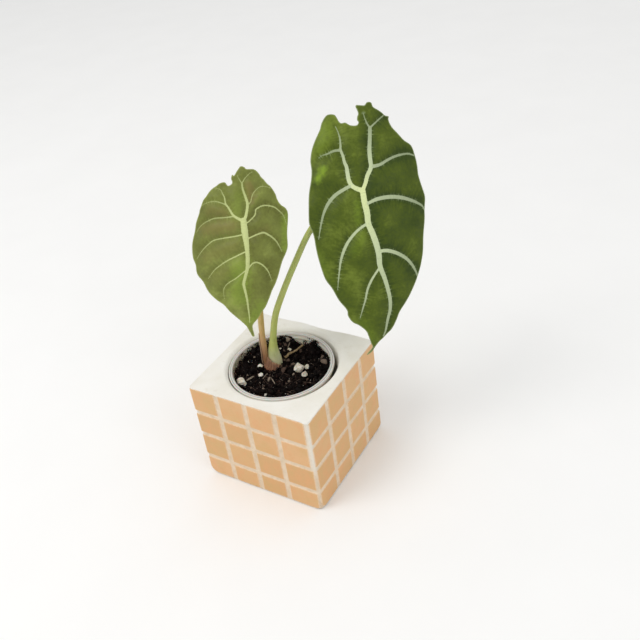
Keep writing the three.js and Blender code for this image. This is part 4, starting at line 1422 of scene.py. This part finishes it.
def add_soil(look):
    generator = np.random.default_rng(SEED + 1)
    shape = Shape("tone")
    soil_skin(shape)
    ball, ball_faces = unit_ball(1)

    def add_crumb(place, size, tone, proportions):
        body = angular(ball, generator, 5, (0.55, 0.95)) * np.array(proportions) * size
        shape.add(body @ random_turn(generator).T + place, ball_faces, tone=tone)

    chip, chip_faces = unit_ball(3)

    def add_chunk(place, size, tone):
        body = angular(chip, generator, 8, (0.45, 0.85)) * np.array((1.2, 0.95, 0.7)) * size
        body *= 1 + 0.22 * rough(chip, 0.7, 4, seed=len(shape.points))[:, None]
        shape.add(body @ random_turn(generator).T + place, chip_faces, tone=tone)

    edge = float(cup_inside(SOIL_TOP)) - 1
    for count, small, large, bias, thickness in SOIL_CRUMBS:
        for _ in range(count):
            spot = clear_spot(generator, edge)
            if spot is None:
                continue
            size = small + (large - small) * generator.uniform() ** bias
            lift = size * generator.uniform(0.1, 0.7) * thickness + 0.1
            place = np.array((*spot, float(soil_height(*spot)) + lift))
            tone = crumb_tone(generator) * (0.3 if size > 0.95 else 1)
            add_crumb(place, size, tone, (1, generator.uniform(0.6, 1), thickness))
    for _ in range(BRIGHT_SPECKS):
        spot = clear_spot(generator, edge)
        if spot is not None:
            place = np.array((*spot, float(soil_height(*spot)) + 0.6))
            add_crumb(place, generator.uniform(0.14, 0.32), generator.uniform(0.72, 1), (1, 0.8, 0.7))
    for _ in range(WALL_BITS):
        angle = generator.uniform(0, 2 * math.pi)
        across = toward(angle)
        foot = float(soil_height(*(CUP_CENTRE + edge * across)))
        climb = max(float(border_level(*across)) - foot, 0.3)
        z = foot + climb * generator.uniform() ** 2 + generator.uniform(-0.3, 0.7)
        size = generator.uniform(0.2, 0.8)
        radius = float(cup_inside(min(z, CUP_NECK - 1))) - size * 0.6
        add_crumb(np.array((*(CUP_CENTRE + radius * across), z)), size, crumb_tone(generator), (1, 0.8, 0.6))
    for _ in range(WALL_BITS):
        angle = generator.uniform(0, 2 * math.pi)
        across = toward(angle)
        clump = noise.noise(Vector((angle * 4, 0.5, 0.2))) + 0.25
        z = float(border_level(*across)) + 6 * generator.uniform() ** 1.5 * max(clump, 0)
        if z < CUP_TOP - 0.7:
            size = generator.uniform(0.14, 0.5)
            radius = float(cup_inside(min(z, CUP_NECK))) - size * 0.5
            place = np.array((*(CUP_CENTRE + radius * across), z))
            add_crumb(place, size, crumb_tone(generator), (1, 0.8, 0.6))
    for _ in range(SHEATH_CRUMBS):
        turn = math.radians(generator.uniform(165, 375))
        across = toward(turn)
        spot = STEM_CENTRE + (COLLAR_LOW["radius"] + generator.uniform(0.1, 1.2)) * across
        place = np.array((*spot, float(soil_height(*spot)) + generator.uniform(0.4, 1.5)))
        add_crumb(place, generator.uniform(0.25, 0.8), generator.uniform(0.05, 0.6), (1, 0.7, 0.5))
    for pixel, size, tone in CHUNKS:
        add_chunk(on_soil(pixel, 0.9 + size * 0.2), size * 0.52, tone)
    for start, end, thickness in SLIVERS:
        path = even(np.array([on_soil(start, 1.1), on_soil(end, 1.1)]), 0.8)
        path[:, 2] += 0.25 * rough(path, 1.5, 2, seed=15)
        rings = tube_rings(path, thickness * np.sin(np.linspace(0.5, 2.6, len(path))), 6)
        shape.add(*capped_rings(rings, path[0], path[-1]), tone=0.78)
    for _ in range(THREADS):
        add_thread(shape, generator, edge)
    shape.build("potting_mix", [look], ["soil"])


def add_thread(shape, generator, edge):
    """A thin, nearly straight fibre that lies on the potting mix."""
    spot = clear_spot(generator, edge * 0.9)
    if spot is None:
        return
    x, y = spot
    heading, bend = generator.uniform(0, 2 * math.pi), generator.uniform(-0.12, 0.12)
    step = generator.uniform(0.4, 1.0)
    path = []
    for i in range(9):
        inside_cup = math.hypot(x - CUP_CENTRE[0], y - CUP_CENTRE[1]) < edge
        clear_of_stem = math.hypot(x - STEM_CENTRE[0], y - STEM_CENTRE[1]) > STEM_CLEARANCE
        if inside_cup and clear_of_stem:
            lift = 0.75 + 0.3 * math.sin(i * 0.8 + heading)
            path.append((x, y, float(soil_height(x, y)) + lift))
        x, y = x + step * math.cos(heading), y + step * math.sin(heading)
        heading += bend
    if len(path) < 5:
        return
    path = spline(path, samples=2)
    thick = generator.uniform(0.07, 0.14)
    radii = thick * np.sin(np.linspace(0.35, math.pi - 0.35, len(path)))
    rings = tube_rings(path, radii, 5)
    points, faces = capped_rings(rings, path[0], path[-1])
    shape.add(points, faces, tone=generator.uniform(0.44, 0.66))


def add_perlite(look):
    unit, faces = unit_ball(5)
    for i in range(1, PERLITE_COUNT + 1):
        node = f"perlite_{i}"
        generator = np.random.default_rng(SEED + 10 + i)
        low, high = box_mm(node)
        body = angular(unit, generator, 10, (0.62, 0.96))
        lumps = 0.09 * rough(unit, 0.5, 3, seed=20 + i) + 0.035 * rough(unit, 0.13, 3, seed=40 + i)
        body = body * (1 + lumps)[:, None]
        body *= (high - low) / 2 * PERLITE_SWELL
        points = body + (low + high) / 2 + np.array((0, 0, PERLITE_LIFT))
        add_plain(f"grain_{i}", points, faces, look, node)


# Plant

def add_stalk(name, stalk, look, node):
    sides = 30
    path = even(spline(stalk["path"]), 0.9)
    run = run_along(path)
    radii = np.interp(path[:, 2], *zip(*stalk["girth"]))

    def ripple(turn, share):
        ridges = 0.014 * np.cos(7 * turn + 3 * share) + 0.01 * np.cos(11 * turn + 1)
        return 1 + ridges + 0.03 * np.cos(2 * turn + 5 * share)

    rings = tube_rings(path, radii, sides, ripple)
    points, faces = capped_rings(rings, path[0], path[-1])
    turns = np.vstack([np.tile(ring_of(sides), (len(path), 1)), [(0, 0), (0, 0)]])
    shape = Shape("height", "run", "turn_x", "turn_y")
    shape.add(
        points, faces, height=points[:, 2], turn_x=turns[:, 0], turn_y=turns[:, 1],
        run=np.concatenate([np.repeat(run, sides), [run[0], run[-1]]]),
    )
    shape.build(name, [look], [node])


def add_stem(look):
    circle = ring_of(40)
    profile = even(spline(STEM_OUTLINE[1:-1]), 0.6)
    rings = [lifted(circle * r + STEM_CENTRE, z) for r, z in profile]
    low, high = (*STEM_CENTRE, STEM_OUTLINE[0][1]), (*STEM_CENTRE, STEM_OUTLINE[-1][1])
    points, faces = capped_rings(rings, low, high)
    points[:, :2] += 0.12 * rough(points, 2, 3, seed=31)[:, None]
    add_plain("stem", points, faces, look, "stem_base")


def add_sheath(look):
    """A ragged papery collar on the front of the stalks, and a strip up the small stalk."""
    shape = Shape("turn", "height", "lip", "tone")
    add_collar(shape)
    add_strip(shape)
    shape.build("papery_sheath", [look], ["sheath"])


def add_sheet(shape, middle, normal, turns, shares, tone):
    """A thin sheet about a grid of points, with its marks."""
    thickness = 0.26
    points, faces = thin_shell(middle + normal * thickness / 2, middle - normal * thickness / 2)
    turn = np.broadcast_to(np.radians(turns), middle.shape[:2]).ravel()
    lip = np.broadcast_to(shares[:, None], middle.shape[:2]).ravel()
    tone = np.broadcast_to(tone, middle.shape[:2]).ravel()
    shape.add(
        points, faces, turn=np.tile(turn, 2), lip=np.tile(lip, 2), tone=np.tile(tone, 2),
        height=points[:, 2] - COLLAR_LOW["height"],
    )


def add_collar(shape):
    turns = np.linspace(COLLAR_TURNS[0], COLLAR_TURNS[-1], 96)
    teeth = rough(np.column_stack([turns / 8, turns * 0, turns * 0]), 0.8, 3, seed=33)
    edge = np.interp(turns, COLLAR_TURNS, COLLAR_EDGE) + 0.6 * teeth
    shares = np.linspace(0, 1, 20)
    foot = COLLAR_LOW["height"] - 0.8
    z = foot + shares[:, None] * (edge - foot)
    rise = (z - COLLAR_LOW["height"]) / (COLLAR_HIGH["height"] - COLLAR_LOW["height"])
    rise = np.clip(rise, 0, 1)[..., None] ** 0.6
    centre = np.array(COLLAR_LOW["centre"]) * (1 - rise) + np.array(COLLAR_HIGH["centre"]) * rise
    radius = COLLAR_LOW["radius"] * (1 - rise) + COLLAR_HIGH["radius"] * rise
    bulge = np.exp(-(((turns - COLLAR_BULGE["turn"]) / COLLAR_BULGE["spread"]) ** 2))
    crease = 0.17 * np.sin(turns / 3.1 + shares[:, None] * 1.5) + 0.12 * np.sin(turns / 1.7 + 1)
    radius = radius + (COLLAR_BULGE["rise"] * bulge + crease)[..., None]
    lean = np.radians(turns + 2.2 * np.sin(shares[:, None] * 3 + turns / 14))
    direction = np.dstack([np.cos(lean), np.sin(lean)])
    flat = centre + direction * radius
    middle = np.dstack([flat, z])
    normal = np.dstack([direction, np.zeros_like(z)])
    tone = 0.25 * shares[:, None] + 0.55 * bulge
    add_sheet(shape, middle, normal, turns, shares, tone)


def add_strip(shape):
    """A dry strip of the sheath along the outer side of the small stalk."""
    path = even(spline(SMALL_STALK["path"]), 0.5)
    low, high = STRIP_HEIGHTS
    path = path[(path[:, 2] > low) & (path[:, 2] < high)]
    shares = np.linspace(0, 1, len(path))
    girth = np.interp(path[:, 2], *zip(*SMALL_STALK["girth"]))
    start, end = STRIP_TURNS
    half = (end - start) / 2 * (1 - 0.75 * shares ** 2)
    columns = np.linspace(-1, 1, 18)
    turns = (start + end) / 2 + half[:, None] * columns - 12 * shares[:, None]
    angle = np.radians(turns)
    direction = np.dstack([np.cos(angle), np.sin(angle), np.zeros_like(angle)])
    lift = 0.34 + 0.3 * (1 - shares[:, None]) ** 2 + 0.12 * np.sin(turns / 4 + shares[:, None] * 9)
    middle = path[:, None] + direction * (girth[:, None] + lift)[..., None]
    middle[..., 2] += 0.4 * rough(np.column_stack([columns * 2, columns * 0, columns * 0]), 0.8, 2, seed=36)
    tone = 0.55 + 0.4 * shares[:, None] + 0 * turns
    add_sheet(shape, middle, direction, turns, shares, tone)


def add_root_fibre(look):
    path = even(spline(FIBRE_PATH), 0.35)
    share = np.linspace(0, 1, len(path))
    wobble = np.column_stack([rough(path, 1.5, 2, seed=s) for s in (51, 52, 53)]) * 0.22
    radii = 0.72 - 0.2 * share + 0.1 * rough(path, 0.9, 2, seed=54)
    rings = tube_rings(path + wobble, radii, 10)
    points, faces = capped_rings(rings, path[0] + wobble[0], path[-1] + wobble[-1])
    add_plain("dry_root", points, faces, look, "root_fibre")


def vein_lines(leaf, step):
    """Each vein on the blade: points along its middle and how far along it they are, 0 to 1."""
    lines = []
    for pixels, _, _ in leaf["veins"]:
        places = on_blade(leaf, pixels)
        line = even(spline(places), step)
        lines.append((line, np.linspace(0, 1, len(line))))
    return lines


def vein_points(leaf):
    """Points along the veins, none of them too near another, for the mesh to pass through."""
    step = leaf["spacing"] * 0.9
    chosen = np.empty((0, 2))
    for line, _ in vein_lines(leaf, step):
        if len(chosen):
            line = line[distances(line, chosen)[0] > step * 0.7]
        chosen = np.vstack([chosen, line])
    return chosen


def vein_field(points, leaf):
    """For each point: distance to the edge of its vein, the vein's half width, the place along
    it, its paleness, and how much nearer it is than any other vein."""
    step = 0.25
    count = len(points)
    best, second = np.full(count, 1e9), np.full(count, 1e9)
    half, along, pale = np.ones(count), np.zeros(count), np.zeros(count)
    for number, (line, share) in enumerate(vein_lines(leaf, step)):
        _, widths, tones = leaf["veins"][number]
        width = np.interp(share, np.linspace(0, 1, len(widths)), widths)
        for start in range(0, count, BATCH):
            part = slice(start, start + BATCH)
            gap = np.linalg.norm(points[part, None] - line[None], axis=2) - width
            nearest, edge = gap.argmin(1), gap.min(1)
            second[part] = np.minimum(second[part], np.maximum(best[part], edge))
            closer = edge < best[part]
            index = np.nonzero(closer)[0] + start
            chosen = nearest[closer]
            best[index] = edge[closer]
            half[index] = width[chosen]
            # Each vein takes its streaks from a stretch of its own.
            along[index] = chosen * step + number * 41.7
            pale[index] = tones[0] + (tones[1] - tones[0]) * share[chosen]
    return best, half, along, pale, second - best


def patches(points, leaf, key):
    """How strongly each point lies in one of the blade's patches of that kind."""
    strength = np.zeros(len(points))
    for start, end, half, strong in leaf[key]:
        gap = to_segment(points, *on_blade(leaf, [start, end]))
        gap = gap + 0.6 * half * rough(lifted(points, 0), 1.4, 3, seed=63)
        strength = np.maximum(strength, strong * (1 - smooth_step(gap, 0, half * 2)))
    return strength


def painted_blade_shading(points, leaf, away):
    """Painted light and shade in the blade's green at each point, about 0 (shaded) to 1 (lit)."""
    u, v = points.T
    spine = on_blade(leaf, leaf["veins"][0][0])
    right = smooth_step(v - np.interp(u, *spine.T), -2, 2)
    lobes = smooth_step(-u, 5, 30)
    # A painted sheen on the rear lobes, painted light on the left side and painted shade beside the veins.
    painted_shading = 0.42 + leaf["lobe_light"] * lobes * (1 - 0.5 * right)
    painted_shading += leaf["side_light"] * (0.5 - right)
    painted_shading -= leaf["vein_shadow"] * np.exp(-away / 2.2) * (0.35 + 0.65 * right)
    return painted_shading


def add_leaf(name, leaf, looks, node):
    spacing = leaf["spacing"]
    loop = even(spline(on_blade(leaf, leaf["outline"]), closed=True), spacing, closed=True)
    after = np.roll(loop, -1, 0)
    if np.sum(loop[:, 0] * after[:, 1] - after[:, 0] * loop[:, 1]) < 0:
        loop = loop[::-1]
    points, faces = triangulate(loop, spacing, marks=vein_points(leaf))
    edge, half, along, pale, apart = vein_field(points, leaf)
    margin, nearest = distances(points, loop)
    u, v = points.T
    away = np.maximum(edge, 0)
    puff = (1 - np.exp(-away / leaf["reach"])) * (0.3 + 0.7 * (1 - np.exp(-margin / 3.5)))
    puff = smoothed(puff, faces, 8) - 0.2 * smooth_step(np.hypot(u, v), 3, 14)
    across_vein = np.clip(1 + edge / half, 0, 1)
    ridge = np.sqrt(np.clip(1 - across_vein ** 2, 0, 1)) * half * leaf["ridge"]
    turn = 2 * np.pi * nearest * spacing / leaf["wave_length"]
    wave = leaf["wave"] * np.exp(-margin / 6) * (np.sin(turn) + 0.5 * np.sin(turn * 0.43 + 1))
    wave = smoothed(wave, faces, 34) * (1 - leaf["calm"] * smooth_step(-u, 0, 14))
    grain = 0.14 * rough(lifted(points, 0), 6, 2, seed=61) + 0.05 * rough(lifted(points, 0), 1.6, 2, seed=62)
    height = arch(leaf, u, v) + wave + leaf["puff"] * puff + grain
    height -= leaf["sink"] * smooth_step(-u, 12, 42)
    body = 0.2 + 0.22 * smooth_step(margin, 0, 2.5)
    under_vein = np.clip((edge + half) / (half * 1.25), 0, 1)
    keel = np.sqrt(np.clip(1 - under_vein ** 2, 0, 1)) * half * 0.85 * smooth_step(margin, 0, 3)
    down, across, out = blade_axes(leaf)
    flat = np.array(leaf["joint"]) + np.outer(u, down) + np.outer(v, across)
    upper = flat + np.outer(height + ridge, out)
    lower = flat + np.outer(height - body - keel, out)
    count, rim = len(points), len(loop)
    under = [tuple(face[::-1] + count) for face in faces]
    sides = []
    for a in range(rim):
        b = (a + 1) % rim
        sides.append((b, a, a + count, b + count))
    streak = smooth_step(apart, 0.3, 1.5) * np.exp(-away / 6)
    marks = {
        "edge": edge, "along": along, "pale": pale, "margin": margin, "streak": streak,
        "painted_shading": painted_blade_shading(points, leaf, away), "glow": patches(points, leaf, "glows"),
        "tan": patches(points, leaf, "tans"), "u": u, "v": v,
    }
    shape = Shape(*marks)
    shape.add(
        np.vstack([upper, lower]), [*faces, *sides, *under],
        [0] * (len(faces) + len(sides)) + [1] * len(under),
        **{mark: np.tile(values, 2) for mark, values in marks.items()},
    )
    shape.build(name, looks, [node])


# Stage

def add_camera():
    right, up, back = camera_axes()
    data = bpy.data.cameras.new("camera")
    data.sensor_width = SENSOR
    data.lens = SENSOR * FOCAL_PIXELS / PICTURE
    data.clip_start = 0.01
    camera = bpy.data.objects.new("camera", data)
    bpy.context.scene.collection.objects.link(camera)
    turn = Matrix((right, up, back)).transposed().to_4x4()
    camera.matrix_world = Matrix.Translation(Vector(CAMERA_PLACE) * MM) @ turn
    bpy.context.scene.camera = camera


def add_light(name, place, size, power, colour):
    data = bpy.data.lights.new(name, "AREA")
    data.shape = "DISK"
    data.size = size
    data.energy = power
    data.color = colour
    light = bpy.data.objects.new(name, data)
    bpy.context.scene.collection.objects.link(light)
    light.location = place
    towards = Vector(LIT_MIDDLE) - Vector(place)
    light.rotation_euler = towards.to_track_quat("-Z", "Y").to_euler()


def add_floor():
    mesh = bpy.data.meshes.new("floor")
    corners = [(x * FLOOR_HALF, y * FLOOR_HALF, 0) for x, y in ((-1, -1), (1, -1), (1, 1), (-1, 1))]
    mesh.from_pydata(corners, [], [(0, 1, 2, 3)])
    floor = bpy.data.objects.new("floor", mesh)
    bpy.context.scene.collection.objects.link(floor)
    look = Look("floor", 0.9, Specular_IOR_Level=0.1)
    look.colour(look.mix(look.noise(60, 2), screen(246, 246, 245), screen(250, 250, 249)))
    mesh.materials.append(look.material)


def add_stage():
    add_camera()
    add_floor()
    for light in LIGHTS:
        add_light(*light)
    world = bpy.data.worlds.new("studio")
    world.use_nodes = True
    sky = world.node_tree.nodes["Background"]
    sky.inputs["Color"].default_value = (1, 1, 1, 1)
    sky.inputs["Strength"].default_value = WORLD_STRENGTH
    bpy.context.scene.world = world
    bpy.context.scene.view_settings.view_transform = "Standard"


def add_plant():
    stem_stops = (screen(140, 120, 88), screen(166, 156, 118), screen(182, 176, 138))
    add_stem(bark_look("stem", stem_stops, screen(104, 72, 50), 2.2))
    add_sheath(sheath_look())
    fibre_stops = (screen(120, 98, 66), screen(158, 134, 98), screen(184, 162, 126))
    add_root_fibre(bark_look("fibre", fibre_stops, screen(80, 62, 40), 0.9))
    large_stops = [
        (57, screen(204, 196, 160)), (61.5, screen(204, 201, 162)), (66, screen(198, 202, 148)),
        (70.5, screen(192, 200, 114)), (85, screen(186, 194, 106)), (160, screen(172, 182, 102)),
    ]
    add_stalk(
        "large_stalk", LARGE_STALK,
        stalk_look("stalk_large", large_stops, screen(160, 168, 92), 56.6, 160.1),
        "petiole_large",
    )
    small_stops = [
        (57, screen(140, 96, 68)), (64, screen(154, 110, 80)), (71, screen(180, 140, 98)),
        (79, screen(196, 162, 98)), (90, screen(192, 168, 94)), (153, screen(184, 176, 100)),
    ]
    add_stalk(
        "small_stalk", SMALL_STALK,
        stalk_look("stalk_small", small_stops, screen(204, 176, 120), 57, 153.3),
        "petiole_small",
    )
    large_veins = (screen(136, 152, 108), screen(166, 178, 142), screen(194, 206, 164), screen(220, 230, 168))
    large_top = leaf_look(
        "blade_large", screen(50, 67, 5), screen(76, 91, 12), screen(118, 134, 46),
        screen(122, 148, 34), screen(100, 100, 48), screen(146, 158, 112), large_veins, 0.8,
    )
    large_under = leaf_back_look("blade_large_back", screen(104, 124, 84), screen(150, 164, 118))
    add_leaf("large_blade", LARGE_LEAF, [large_top, large_under], "leaf_large")
    small_veins = (screen(160, 170, 106), screen(178, 188, 124), screen(190, 199, 134), screen(200, 209, 144))
    small_top = leaf_look(
        "blade_small", screen(92, 96, 38), screen(116, 124, 56), screen(150, 160, 82),
        screen(130, 152, 54), screen(122, 113, 60), screen(156, 164, 100), small_veins, 0.4,
    )
    small_under = leaf_back_look("blade_small_back", screen(138, 146, 96), screen(172, 180, 124))
    add_leaf("small_blade", SMALL_LEAF, [small_top, small_under], "leaf_small")


add_stage()
add_planter(cement_look())
add_tiles(tile_look())
add_grout(grout_look())
add_cup(cup_look())
add_soil(soil_look())
add_perlite(perlite_look())
add_plant()
